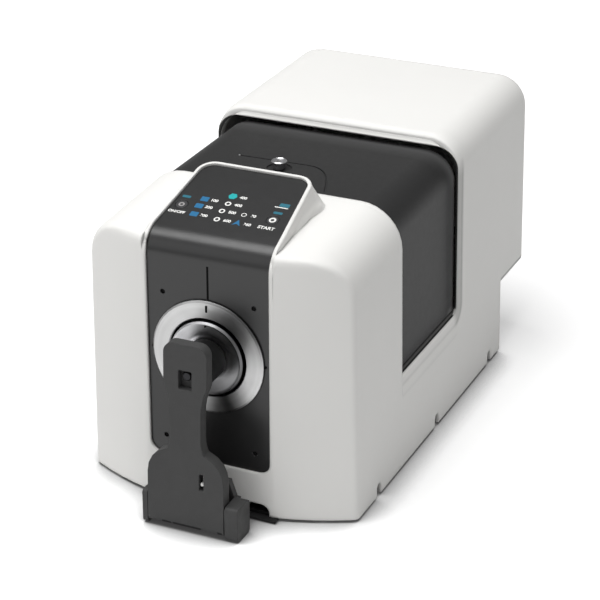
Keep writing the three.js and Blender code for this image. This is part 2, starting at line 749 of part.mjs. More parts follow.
// Chamber lid: arch shell that runs under the hood, with an outlined recess and a knob
function makeLid() {
  const y0 = housingRear - lidTuck;
  const y1 = hoodFront + lidHoodLap;
  const outer = prismY(archShape(lidHalf, lidBottom, lidTop, lidShoulder), y0, y1);
  const inner = prismY(archShape(lidHalf - lidWall, 0, lidTop - lidWall, lidShoulder - lidWall),
    y0 - overrun, y1 + overrun);
  const [start, bend, pull, end] = grooveShares.map(([across, along]) =>
    new THREE.Vector2(lidHalf * across, housingRear + lidOpenLength * along));
  const line = new THREE.QuadraticBezierCurve(bend, pull, end).getPoints(shoulderSteps);
  const ribbon = (side) => [start, ...line].map((point, i, all) => {
    const along = all[Math.min(i + 1, all.length - 1)].clone().sub(all[Math.max(i - 1, 0)]).normalize();
    return [point.x - side * along.y * grooveWidth / 2, point.y + side * along.x * grooveWidth / 2];
  });
  const groove = prismZ(shapeOf([...ribbon(1), ...ribbon(-1).reverse()]), lidTop - grooveDepth, lidTop + overrun);
  const dish = rod(knobDishRadius, lidTop - knobDishDepth, lidTop + overrun, 'z', [knobX, knobY, 0], roundSides / 2);
  const stemHole = rod(knobStemRadius + gap, 0, lidTop + overrun, 'z', [knobX, knobY, 0]);
  return cut(outer, inner, groove, dish, stemHole);
}

const knobHeadRimShare = 0.2;

function makeKnob() {
  const seat = lidTop - knobDishDepth + gap;
  const top = seat + knobHeight;
  const under = lidTop - lidWall - gap;
  const catchRadius = knobTopRadius;
  const catchThickness = wall;
  const rimLip = knobHeight * knobHeadRimShare;
  return turned([
    [0, top - rimLip / 2], [knobTopRadius - rimLip, top - rimLip / 2], [knobTopRadius - rimLip / 2, top],
    [knobTopRadius, top - rimLip / 2], [knobTopRadius, top - rimLip], [knobBaseRadius, seat],
    [knobStemRadius, seat], [knobStemRadius, under],
    [catchRadius, under], [catchRadius, under - catchThickness], [0, under - catchThickness],
  ], 'z', [knobX, knobY, 0], roundSides / 2);
}

// Sample holder arm: outline from the front, lean and thickness from the side
const shoulderLow = 50;
const shoulderHigh = 68;
const neckLow = 79;
const neckFlareShare = 1.2;
const neckHighShare = 0.608;
const headDrop = 11;
const headLow = portHeight - headDrop;
const neckHigh = neckLow + (headLow - neckLow) * neckHighShare;
const headCorner = 9;
const barrelRelief = 9;
const barrelCorner = 6;
const barrelFrom = THREE.MathUtils.degToRad(-60);
const barrelTo = THREE.MathUtils.degToRad(69);

function armOutline() {
  const shape = new THREE.Shape();
  const bottom = holderAxisZ - barrelRadius * 2;
  shape.moveTo(-armHalf, bottom);
  shape.lineTo(armHalf, bottom);
  shape.lineTo(armHalf, shoulderLow);
  shape.quadraticCurveTo(armHalf, shoulderHigh, armNeckHalf * neckFlareShare, neckLow - headCorner / 2);
  shape.quadraticCurveTo(armNeckHalf, neckLow, armNeckHalf, neckLow + headCorner);
  shape.lineTo(armNeckHalf, neckHigh);
  shape.quadraticCurveTo(armNeckHalf, headLow - headCorner, armHeadHalf, headLow + headCorner / 2);
  shape.absarc(armHeadHalf - headCorner, armTop - headCorner, headCorner, 0, Math.PI / 2);
  shape.absarc(headCorner - armHeadHalf, armTop - headCorner, headCorner, Math.PI / 2, Math.PI);
  shape.lineTo(-armHeadHalf, headLow + headCorner / 2);
  shape.quadraticCurveTo(-armNeckHalf, headLow - headCorner, -armNeckHalf, neckHigh);
  shape.lineTo(-armNeckHalf, neckLow + headCorner);
  shape.quadraticCurveTo(-armNeckHalf, neckLow, -armNeckHalf * neckFlareShare, neckLow - headCorner / 2);
  shape.quadraticCurveTo(-armHalf, shoulderHigh, -armHalf, shoulderLow);
  shape.closePath();
  return shape;
}

const armFrontAt = (z) => armBottomFront + (armTopFront - armBottomFront) * z / armTop;

const armLow = holderAxisZ - (holderAxisY - armBottomFront) + barrelCorner / 3;

function armSide() {
  const shape = new THREE.Shape();
  const low = armLow;
  shape.moveTo(armTopFront + armThickness, armTop + overrun);
  shape.lineTo(armTopFront, armTop + overrun);
  shape.lineTo(armFrontAt(low + barrelCorner), low + barrelCorner);
  shape.quadraticCurveTo(armFrontAt(low), low, armFrontAt(low) + barrelCorner, low);
  shape.lineTo(holderAxisY, low);
  shape.absarc(holderAxisY, holderAxisZ, barrelRadius, barrelFrom, barrelTo);
  shape.lineTo(armFrontAt(shoulderLow) + armThickness, holderAxisZ + barrelRadius * 2);
  shape.closePath();
  return shape;
}

function makeArm() {
  const reach = stripFace * 2;
  const body = prismY(armOutline(), holderAxisY - reach, holderAxisY + reach, shoulderSteps / 2)
    .intersect(prismX(armSide(), -armHalf * 2, armHalf * 2, shoulderSteps / 2));
  const pinBore = rod(pinRadius + gap, -armHalf * 2, armHalf * 2, 'x', [0, holderAxisY, holderAxisZ]);
  const springPocket = block(-barrelRelief, barrelRelief, holderAxisY - pinRadius * 2 - gap,
    holderAxisY + reach, -overrun, holderAxisZ + barrelRadius + overrun);
  const windowFront = armFrontAt(portHeight);
  const window = prismY(roundedShape(0, windowMiddle, windowHalf, windowHeight / 2, wall / 2),
    windowFront - overrun, windowFront + windowDepth);
  const stemBore = rod(cupStemRadius + gap, windowFront, 0, 'y', [0, 0, portHeight]);
  const slotMiddle = slotBottom + slotHeight / 2;
  const slot = prismY(roundedShape(slotX, slotMiddle, slotHalf, slotHeight / 2, slotHalf / 2),
    holderAxisY - reach, holderAxisY + reach);
  const pocketFront = armFrontAt(slotMiddle) + armThickness - catchPlateThickness - gap * 2;
  const pocketHalf = (slotHeight + catchPlateHeight) / 2;
  const pocket = block(slotX - catchPlateHalf - gap, slotX + catchPlateHalf + gap, pocketFront, holderAxisY + reach,
    slotMiddle - pocketHalf, slotMiddle + pocketHalf);
  return cut(body, pinBore, springPocket, window, stemBore, slot, pocket);
}

// Fixed bracket: two ears, a web between them and a tongue into the front notch
const earSetback = 1;
const earDepth = 23;
const earFront = armBottomFront + earSetback;
const earRear = earFront + earDepth;
const earTop = 31.5;
const earBottom = 0.9;
const earCorner = 3.5;
const webThickness = 6;
const webInset = 4.8;
const webSide = armHalf - webInset;
const webTopMiddle = 45;
const webDrop = 1.5;
const webTop = earTop - webDrop;
const tongueRear = 30;

function makeBracket() {
  const profile = roundedShape((earFront + earRear) / 2, (earTop + earBottom) / 2,
    (earRear - earFront) / 2, (earTop - earBottom) / 2, earCorner);
  const ears = [prismX(profile, earInner, earOuterRight), prismX(profile, -earOuterLeft, -earInner)];
  const webRear = earRear + webThickness / 2;
  const webShape = shapeOf([[-earInner, earBottom + wall], [earInner, earBottom + wall], [earInner, webTop],
    [webSide, webTopMiddle], [-webSide, webTopMiddle], [-earInner, webTop]]);
  const web = joined(prismY(webShape, webRear - webThickness, webRear),
    block(-earInner - wall, earInner + wall, webRear - webThickness, webRear, earBottom + wall, webTop));
  const tongue = block(-tongueHalf, tongueHalf, webRear - overrun / 2, tongueRear, tongueBottom, tongueTop);
  const pinBore = rod(pinRadius + gap, -earOuterLeft + wall, earOuterRight - wall, 'x', [0, holderAxisY, holderAxisZ]);
  return cut(joined(...ears, web, tongue), pinBore);
}

const makeHolderPin = () =>
  rod(pinRadius, -earOuterLeft + wall + gap, earOuterRight - wall - gap, 'x', [0, holderAxisY, holderAxisZ]);

// Torsion spring round the hinge pin, one unbroken wire
const springWire = 0.6;
const springPlay = 0.7;
const springRadius = pinRadius + springWire + springPlay;
const springTurns = 5;

function makeHolderSpring() {
  const length = (barrelRelief - springWire * 2) * 2;
  class Helix extends THREE.Curve {
    getPoint(t, target = new THREE.Vector3()) {
      const angle = t * springTurns * Math.PI * 2;
      return target.set((t - 1 / 2) * length,
        holderAxisY + springRadius * Math.cos(angle), holderAxisZ + springRadius * Math.sin(angle));
    }
  }
  const section = new THREE.Shape().absarc(0, 0, springWire, 0, Math.PI * 2);
  const geometry = new THREE.ExtrudeGeometry(section, {
    steps: springTurns * 8, curveSegments: 3, bevelEnabled: false, extrudePath: new Helix(),
  });
  return solid(geometry);
}

// Clamp cup on the arm's head, with its stem, and the screw seen in the head's window
const cupBackGap = 3.2;
const cupLip = 3;
const cupHollow = 8;
const stemScrewRadius = 4;
const stemScrewThickness = 2;

function makeCup() {
  const front = armFrontAt(portHeight) + armThickness + cupBackGap;
  const rear = -stripFace - maskProud + maskDishDepth - cupFrontGap;
  const stemEnd = armFrontAt(portHeight) + windowDepth - gap;
  return turned([
    [0, stemEnd], [cupStemRadius, stemEnd], [cupStemRadius, front], [cupRadius - cupLip, front],
    [cupRadius, front + cupLip], [cupRadius, rear - cupLip / 2], [cupRadius - cupLip / 2, rear],
    [cupRadius - cupLip, rear], [cupRadius - cupLip, rear - cupHollow], [0, rear - cupHollow],
  ], 'y', [0, 0, portHeight], roundSides);
}

function makeStemScrew() {
  const back = armFrontAt(portHeight) + windowDepth - gap * 2;
  return turned([
    [0, back - stemScrewThickness], [stemScrewRadius - ringEdge, back - stemScrewThickness],
    [stemScrewRadius, back - stemScrewThickness + ringEdge], [stemScrewRadius, back], [0, back],
  ], 'y', [0, 0, portHeight], smallSides);
}

// Catch that slides behind the arm, with a small finger pin in the slot
const lockPinRadius = 1.5;

function makeCatch() {
  const back = armFrontAt(slotBottom + slotHeight) + armThickness - gap;
  const plateFront = back - catchPlateThickness;
  const pin = rod(lockPinRadius, armFrontAt(lockPinHeight) + lockPinRadius, plateFront + gap,
    'y', [slotX, 0, lockPinHeight], smallSides / 2);
  const plate = block(slotX - catchPlateHalf, slotX + catchPlateHalf, plateFront, back,
    lockPinHeight - catchPlateHeight / 2, lockPinHeight + catchPlateHeight / 2);
  return joined(pin, plate);
}

// Chassis plate with its front lip, the feet and the side walls that carry the lid
function makeChassisPlate() {
  const top = chassisPlateBottom + chassisPlateThickness;
  const plate = block(-chassisHalf, chassisHalf, chassisFront, chassisRear, chassisPlateBottom, top);
  const lip = block(-lipHalf, lipHalf, lipFront, lipRear, lipBottom, lipBottom + lipThickness);
  const apron = block(-apronHalf, apronHalf, apronFront, lipRear, lipBottom, top);
  return joined(plate, lip, apron);
}

function makeFoot(x, y) {
  const edge = chassisPlateBottom / 4;
  const top = chassisPlateBottom - gap / 3;
  return turned([[0, 0], [footRadius - edge, 0], [footRadius, edge], [footRadius, top], [0, top]],
    'z', [x, y, 0], smallSides);
}

const sideFlange = 6;
const sideSheet = 2;
const sideFront = 60;
const sideWindows = 3;

function makeChassisSide(side) {
  const low = chassisPlateBottom + chassisPlateThickness + gap;
  const top = lidBottom - gap;
  const flip = (a, b) => (side > 0 ? [a, b] : [-b, -a]);
  const sheetOuter = chassisHalf - sideSheet * 2;
  const wallX = flip(sheetOuter - sideFlange - sideSheet, sheetOuter - sideFlange);
  const upright = block(...wallX, sideFront, chassisRear - overrun, low, top);
  const railX = flip(sheetOuter - sideFlange - sideSheet, sheetOuter);
  const rail = block(...railX, sideFront, chassisRear - overrun, top - sideSheet, top);
  const footX0 = flip(sheetOuter - sideFlange - sideSheet * 5, sheetOuter - sideFlange);
  const foot = block(...footX0, sideFront, chassisRear - overrun, low, low + sideSheet);
  const pitch = (chassisRear - overrun - sideFront) / sideWindows;
  const windows = Array.from({ length: sideWindows }, (_, i) => {
    const middle = sideFront + pitch * (i + 1 / 2);
    return prismX(roundedShape(middle, (low + top) / 2, pitch / 4, (top - low) / 4, sideFlange),
      -coverWidth, coverWidth);
  });
  return cut(joined(upright, rail, foot), ...windows);
}

// Integrating sphere in two flanged halves, with ports and lamp openings
const rearPortRadius = 14;
const lampPortRadius = 9;
const lampTilt = Math.PI / 4;

function makeSphereHalf(side) {
  const [outer, inner] = [sphereRadius, sphereRadius - sphereWall];
  const seam = side * gap / 2;
  const flange = side * sphereFlangeThickness;
  const profile = [[inner, seam]];
  for (let i = 1; i <= sphereSteps; i++) {
    const angle = (i / sphereSteps) * Math.PI / 2;
    profile.push([inner * Math.cos(angle), seam + side * inner * Math.sin(angle)]);
  }
  profile[profile.length - 1][0] = 0;
  for (let i = sphereSteps; i >= 1; i--) {
    const angle = (i / sphereSteps) * Math.PI / 2;
    const along = outer * Math.sin(angle);
    if (along > sphereFlangeThickness + gap) profile.push([outer * Math.cos(angle), seam + side * along]);
  }
  profile[sphereSteps + 1][0] = 0;
  profile.push([outer, seam + flange], [outer + sphereFlange, seam + flange], [outer + sphereFlange, seam]);
  const loop = [...profile, profile[0]];
  const geometry = new THREE.LatheGeometry(loop.map(([r, a]) => new THREE.Vector2(r, a)), roundSides / 2);
  geometry.translate(0, sphereY, portHeight);
  const port = side < 0 ? apertureRadius + wall : rearPortRadius;
  const bore = rod(port, sphereY, sphereY + side * outer * 1.2, 'y', [0, 0, portHeight], smallSides);
  const lamps = [-1, 1].map((hand) => lampRod(hand, lampPortRadius, 0, outer * 1.2));
  return side < 0 ? cut(solid(geometry), bore, ...lamps) : cut(solid(geometry), bore);
}

// Rod from the sphere centre's front half out through the lamp opening
const lampSetForward = 26;

function lampRod(hand, radius, low, high) {
  const geometry = new THREE.CylinderGeometry(radius, radius, high - low, smallSides);
  geometry.translate(0, (low + high) / 2, 0);
  geometry.rotateX(Math.PI / 2);
  geometry.rotateY(hand * lampTilt);
  geometry.translate(0, sphereY - lampSetForward, portHeight);
  return solid(geometry);
}

const lampRadius = 13;
const lampLength = 21;
const lampNeckLap = 1;
const lampNeckPlay = 0.6;
const lampNeckRadius = lampPortRadius - lampNeckPlay;

function makeLamp(hand) {
  const neck = lampRod(hand, lampNeckRadius, sphereRadius - sphereWall, sphereRadius + lampNeckLap);
  const can = lampRod(hand, lampRadius, sphereRadius, sphereRadius + lampLength);
  return joined(can, neck);
}

// Saddle under the sphere
const saddleHalf = 46;
const saddleSetback = 1;
const saddleThickness = 12;
const saddleY0 = sphereY + sphereFlangeThickness + saddleSetback;
const saddleY1 = saddleY0 + saddleThickness;

function makeSaddle(y0, y1) {
  const low = chassisPlateBottom + chassisPlateThickness + gap;
  const top = portHeight - sphereRadius / 2;
  const body = block(-saddleHalf, saddleHalf, y0, y1, low, top);
  const seat = rod(sphereRadius + gap * 2, y0 - overrun, y1 + overrun, 'y', [0, 0, portHeight], roundSides);
  return cut(body, seat);
}

// Transmittance chamber: floor, front wall and rear wall, open above and at both sides
const chamberInset = 21;
const chamberFloorDrop = 57;
const chamberTopDrop = 29;
const chamberHalf = lidHalf - chamberInset;
const chamberFloor = portHeight - chamberFloorDrop;
const chamberTop = lidTop - chamberTopDrop;
const chamberSheet = 3;

function makeChamber() {
  const floor = block(-chamberHalf, chamberHalf, chamberFront, chamberRear, chamberFloor, chamberFloor + chamberSheet);
  const corner = saddleHalf / 2;
  const half = chamberHalf;
  const shape = new THREE.Shape();
  shape.moveTo(-half, chamberFloor);
  shape.lineTo(half, chamberFloor);
  shape.absarc(half - corner, chamberTop - corner, corner, 0, Math.PI / 2);
  shape.absarc(corner - half, chamberTop - corner, corner, Math.PI / 2, Math.PI);
  shape.closePath();
  const front = prismY(shape, chamberFront, chamberFront + chamberSheet);
  const rear = prismY(shape, chamberRear - chamberSheet, chamberRear);
  const bore = rod(rearPortRadius, chamberFront - overrun, chamberRear + overrun, 'y', [0, 0, portHeight]);
  const legs = [-1, 1].map((side) => {
    const outer = side * (chamberHalf - wall);
    const inner = side * (chamberHalf - wall * 2);
    const low = chassisPlateBottom + chassisPlateThickness + gap;
    return block(Math.min(inner, outer), Math.max(inner, outer), chamberFront + wall, chamberRear - wall,
      low, chamberFloor + gap);
  });
  return cut(joined(floor, front, rear, ...legs), bore);
}

// Lens barrel between the chamber and the spectrometer
const lensRadius = 19;
const lensBore = 13;
const spectroFrontSetback = 22;
const spectroRearSetback = 8;
const spectroDrop = 45;
const spectroHeight = 80;
const spectroFront = hoodFront + spectroFrontSetback;
const spectroRear = chassisRear - spectroRearSetback;
const spectroHalf = 74;
const spectroBottom = portHeight - spectroDrop;
const spectroTop = spectroBottom + spectroHeight;
const spectroWall = 4;
const spectroCoverThickness = 4;

function makeLens() {
  const y0 = chamberRear + gap;
  const y1 = spectroFront - gap;
  const step = lensRadius - lensBore;
  return turned([
    [lensBore, y0], [lensRadius - step / 3, y0], [lensRadius - step / 3, y0 + step], [lensRadius, y0 + step],
    [lensRadius, y1 - step], [lensRadius + step / 2, y1 - step], [lensRadius + step / 2, y1], [lensBore, y1],
  ], 'y', [0, 0, portHeight], roundSides / 2);
}

function makeSpectrometer() {
  const body = block(-spectroHalf, spectroHalf, spectroFront, spectroRear, spectroBottom, spectroTop);
  const inside = block(-spectroHalf + spectroWall, spectroHalf - spectroWall, spectroFront + spectroWall,
    spectroRear - spectroWall, spectroBottom + spectroWall, spectroTop + overrun);
  const slit = rod(lensBore, spectroFront - overrun, spectroFront + spectroWall + overrun, 'y', [0, 0, portHeight]);
  return cut(body, inside, slit);
}

function makeSpectrometerCover() {
  const low = spectroTop + gap;
  return block(-spectroHalf, spectroHalf, spectroFront, spectroRear, low, low + spectroCoverThickness);
}

function makeSpectrometerStand() {
  const low = chassisPlateBottom + chassisPlateThickness + gap;
  const top = spectroBottom - gap;
  const half = spectroHalf - spectroWall;
  const deck = block(-half, half, spectroFront, spectroRear, top - wall, top);
  const legs = [-1, 1].map((side) => {
    const outer = side * half;
    const inner = side * (half - wall);
    return block(Math.min(inner, outer), Math.max(inner, outer), spectroFront, spectroRear, low, top);
  });
  return joined(deck, ...legs);
}

// Boards on posts, and the two flash capacitors
const boardHeight = 16;
const boardPostRadius = 3;

function makeBoard(half, y0, y1) {
  const low = chassisPlateBottom + chassisPlateThickness + gap;
  const inset = boardPostRadius * 2;
  const posts = [-1, 1].flatMap((side) => [y0 + inset, y1 - inset].map((y) =>
    rod(boardPostRadius, low, boardHeight + boardThickness / 2, 'z', [side * (half - inset), y, 0], smallSides / 2)));
  return joined(block(-half, half, y0, y1, boardHeight, boardHeight + boardThickness), ...posts);
}

const powerBoardHalf = 58;
const powerBoardLength = 76;
const powerBoardFront = saddleY1 + saddleSetback;
const powerBoardRear = powerBoardFront + powerBoardLength;
const mainBoardClearance = 5;
const mainBoardSetback = 16;
const mainBoardGap = 20;
const mainBoardHalf = spectroHalf - spectroWall - wall - mainBoardClearance;
const mainBoardFront = powerBoardRear + mainBoardGap;
const mainBoardRear = chassisRear - mainBoardSetback;
const capacitorRadius = 13;
const capacitorLength = 46;
const capacitorX = 32;
const capacitorSetback = 12;
const capacitorY0 = powerBoardFront + capacitorSetback;

function makeCapacitor(x) {
  const height = boardHeight + boardThickness + gap + capacitorRadius;
  const edge = ringEdge;
  const y1 = capacitorY0 + capacitorLength;
  return turned([
    [0, capacitorY0], [capacitorRadius - edge, capacitorY0], [capacitorRadius, capacitorY0 + edge],
    [capacitorRadius, y1 - edge], [capacitorRadius - edge, y1], [0, y1],
  ], 'y', [x, 0, height], smallSides);
}

// Rear connector panel with its two sockets
const rearPanelThickness = 2;
const dcX = -52;
const usbX = 40;
const socketHeight = 34;
const dcRadius = 6;
const dcBore = 3.4;
const dcPinRadius = 1;
const dcDepth = 11;
const usbHalfWidth = 6.4;
const usbHalfHeight = 5.8;
const usbShell = 0.9;
const usbTongue = 2.6;
const usbDepth = 13;
const panelPlaneY = coverLength - wall - gap;

function makeRearPanel() {
  const y1 = panelPlaneY;
  const plate = block(-rearPanelHalf, rearPanelHalf, y1 - rearPanelThickness, y1, rearPanelBottom, rearPanelTop);
  const dcHole = rod(dcRadius + gap, y1 - overrun, y1 + overrun, 'y', [dcX, 0, socketHeight]);
  const usbHole = block(usbX - usbHalfWidth - gap, usbX + usbHalfWidth + gap, y1 - overrun, y1 + overrun,
    socketHeight - usbHalfHeight - gap, socketHeight + usbHalfHeight + gap);
  return cut(plate, dcHole, usbHole);
}

function makeDcInlet() {
  const face = panelPlaneY + wall / 2;
  const back = face - dcDepth;
  const floor = back + wall;
  return turned([
    [0, back], [dcRadius, back], [dcRadius, face], [dcBore, face], [dcBore, floor],
    [dcPinRadius, floor], [dcPinRadius, face - wall], [0, face - wall],
  ], 'y', [dcX, 0, socketHeight], smallSides);
}

function makeUsbPort() {
  const face = panelPlaneY + wall / 2;
  const shell = block(usbX - usbHalfWidth, usbX + usbHalfWidth, face - usbDepth, face,
    socketHeight - usbHalfHeight, socketHeight + usbHalfHeight);
  const inside = block(usbX - usbHalfWidth + usbShell, usbX + usbHalfWidth - usbShell,
    face - usbDepth + wall, face + overrun,
    socketHeight - usbHalfHeight + usbShell, socketHeight + usbHalfHeight - usbShell);
  const tongue = block(usbX - usbTongue, usbX + usbTongue, face - usbDepth, face - wall / 2,
    socketHeight - usbTongue / 2, socketHeight + usbTongue / 2);
  return joined(cut(shell, inside), tongue);
}

// Finishes
const finish = (color, roughness, metalness = 0) => new THREE.MeshStandardMaterial({ color, roughness, metalness });
const whiteMoulding = finish(0xeeeeea, 0.45);
const blackMoulding = finish(0x3c3c3d, 0.55);
const armMoulding = finish(0x474747, 0.55);
const keyMoulding = finish(0x434345, 0.5);
const turnedAluminium = finish(0xc9c9c9, 0.3, 1);
const steel = finish(0xb8babd, 0.35, 1);
const sheetMetal = finish(0x8d9094, 0.5, 0.9);
const rubber = finish(0x1c1c1d, 0.85);
const sphereWhite = finish(0xf4f4f0, 0.8);
const boardGreen = finish(0x1f5a36, 0.6);
const canBlue = finish(0x27395f, 0.45);
const pinWhite = finish(0xf2f2f2, 0.4);

// Assembly: the origin is at the middle of the footprint, on the bench
const frontmost = armFrontAt(armLow + barrelCorner);
const instrument = new THREE.Group();
instrument.position.y = -(hoodRear + frontmost) / 2;

function add(name, body, material) {
  const mesh = new THREE.Mesh(geometryOf(body), material);
  mesh.name = name;
  instrument.add(mesh);
}

add('main_cover', makeCover(), whiteMoulding);
add('front_fascia', makeFascia(), blackMoulding);
add('power_button', makeButton(powerX), keyMoulding);
add('measure_button', makeButton(measureX), keyMoulding);
add('status_board', makeStatusBoard(), boardGreen);
add('port_outer_ring', makeOuterRing(), turnedAluminium);
add('target_mask', makeTargetMask(), turnedAluminium);
add('port_hub', makePortHub(), blackMoulding);
add('front_bulkhead', makeBulkhead(), sheetMetal);
add('chamber_lid', makeLid(), blackMoulding);
add('lid_knob', makeKnob(), turnedAluminium);
add('holder_bracket', makeBracket(), armMoulding);
add('holder_arm', makeArm(), armMoulding);
add('holder_pin', makeHolderPin(), steel);
add('holder_spring', makeHolderSpring(), steel);
add('clamp_cup', makeCup(), blackMoulding);
add('clamp_screw', makeStemScrew(), steel);
add('arm_catch', makeCatch(), pinWhite);
add('chassis_plate', makeChassisPlate(), blackMoulding);
for (const [side, x] of [['left', -footX], ['right', footX]]) {
  add(`foot_front_${side}`, makeFoot(x, footFrontY), rubber);
  add(`foot_rear_${side}`, makeFoot(x, footRearY), rubber);
  add(`chassis_side_${side}`, makeChassisSide(Math.sign(x)), sheetMetal);
  add(`lamp_${side}`, makeLamp(Math.sign(x)), sheetMetal);
  add(`flash_capacitor_${side}`, makeCapacitor(Math.sign(x) * capacitorX), canBlue);
}
add('sphere_front', makeSphereHalf(-1), sphereWhite);
add('sphere_rear', makeSphereHalf(1), sphereWhite);
add('sphere_saddle', makeSaddle(saddleY0, saddleY1), sheetMetal);
add('chamber_tray', makeChamber(), blackMoulding);
add('lens_barrel', makeLens(), blackMoulding);
add('spectrometer_body', makeSpectrometer(), sheetMetal);
add('spectrometer_cover', makeSpectrometerCover(), sheetMetal);
add('spectrometer_stand', makeSpectrometerStand(), sheetMetal);
add('main_board', makeBoard(mainBoardHalf, mainBoardFront, mainBoardRear), boardGreen);
add('power_board', makeBoard(powerBoardHalf, powerBoardFront, powerBoardRear), boardGreen);
add('rear_panel', makeRearPanel(), blackMoulding);
add('dc_inlet', makeDcInlet(), blackMoulding);
add('usb_port', makeUsbPort(), steel);

export default instrument;
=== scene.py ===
import math

import bpy
from mathutils import Matrix, Vector


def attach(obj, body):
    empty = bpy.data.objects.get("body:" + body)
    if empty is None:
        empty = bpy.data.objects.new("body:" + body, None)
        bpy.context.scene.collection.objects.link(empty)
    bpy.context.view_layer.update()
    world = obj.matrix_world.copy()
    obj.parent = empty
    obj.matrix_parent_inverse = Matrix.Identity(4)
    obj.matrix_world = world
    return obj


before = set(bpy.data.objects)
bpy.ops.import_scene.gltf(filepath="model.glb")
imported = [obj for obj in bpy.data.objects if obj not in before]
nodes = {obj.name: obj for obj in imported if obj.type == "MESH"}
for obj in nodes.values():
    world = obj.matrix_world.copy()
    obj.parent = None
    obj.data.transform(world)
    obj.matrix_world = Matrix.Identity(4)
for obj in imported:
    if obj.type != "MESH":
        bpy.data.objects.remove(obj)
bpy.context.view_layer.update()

MM = 0.001
SHIFT_Y = -176.201


def lengths(values):
    """Lengths in millimetres, as metres."""
    return [value * MM for value in values]


def depths(values):
    """Places along Y in the source's millimetres, as metres in the frame."""
    return [(value + SHIFT_Y) * MM for value in values]


def row(x, y, z):
    """A place in the source's millimetres, as metres in the frame."""
    return Vector((x * MM, (y + SHIFT_Y) * MM, z * MM))


# Camera: fitted to the photograph's corners and edges
FOCAL_PX = 2160.25
FRAME_PX = 600
SENSOR = 36
CENTRE_PX = (299.12, 279.47)
AZIMUTH = math.radians(24.2275)
ELEVATION = math.radians(24.5956)
ROLL = math.radians(-0.0097)
EYE = row(716.26, -1435.76, 933.86)
FAR_CLIP = 50

right = Vector((math.cos(AZIMUTH), math.sin(AZIMUTH), 0))
back = Vector((math.sin(AZIMUTH) * math.cos(ELEVATION),
               -math.cos(AZIMUTH) * math.cos(ELEVATION),
               math.sin(ELEVATION)))
up = back.cross(right)
rolled_right = right * math.cos(ROLL) + up * math.sin(ROLL)
rolled_up = up * math.cos(ROLL) - right * math.sin(ROLL)
lens = bpy.data.cameras.new("photo_camera")
lens.sensor_width = SENSOR
lens.lens = FOCAL_PX / FRAME_PX * SENSOR
lens.shift_x = (FRAME_PX / 2 - CENTRE_PX[0]) / FRAME_PX
lens.shift_y = (CENTRE_PX[1] - FRAME_PX / 2) / FRAME_PX
lens.clip_end = FAR_CLIP
camera = bpy.data.objects.new("photo_camera", lens)
camera.matrix_world = Matrix((rolled_right, rolled_up, back)).transposed().to_4x4()
camera.matrix_world.translation = EYE
bpy.context.scene.collection.objects.link(camera)
bpy.context.scene.camera = camera
bpy.context.scene.view_settings.view_transform = "Standard"


# Makers of materials
EDGE_SAMPLES = 6
OPEN_RANGE = (0.35, 0.8)


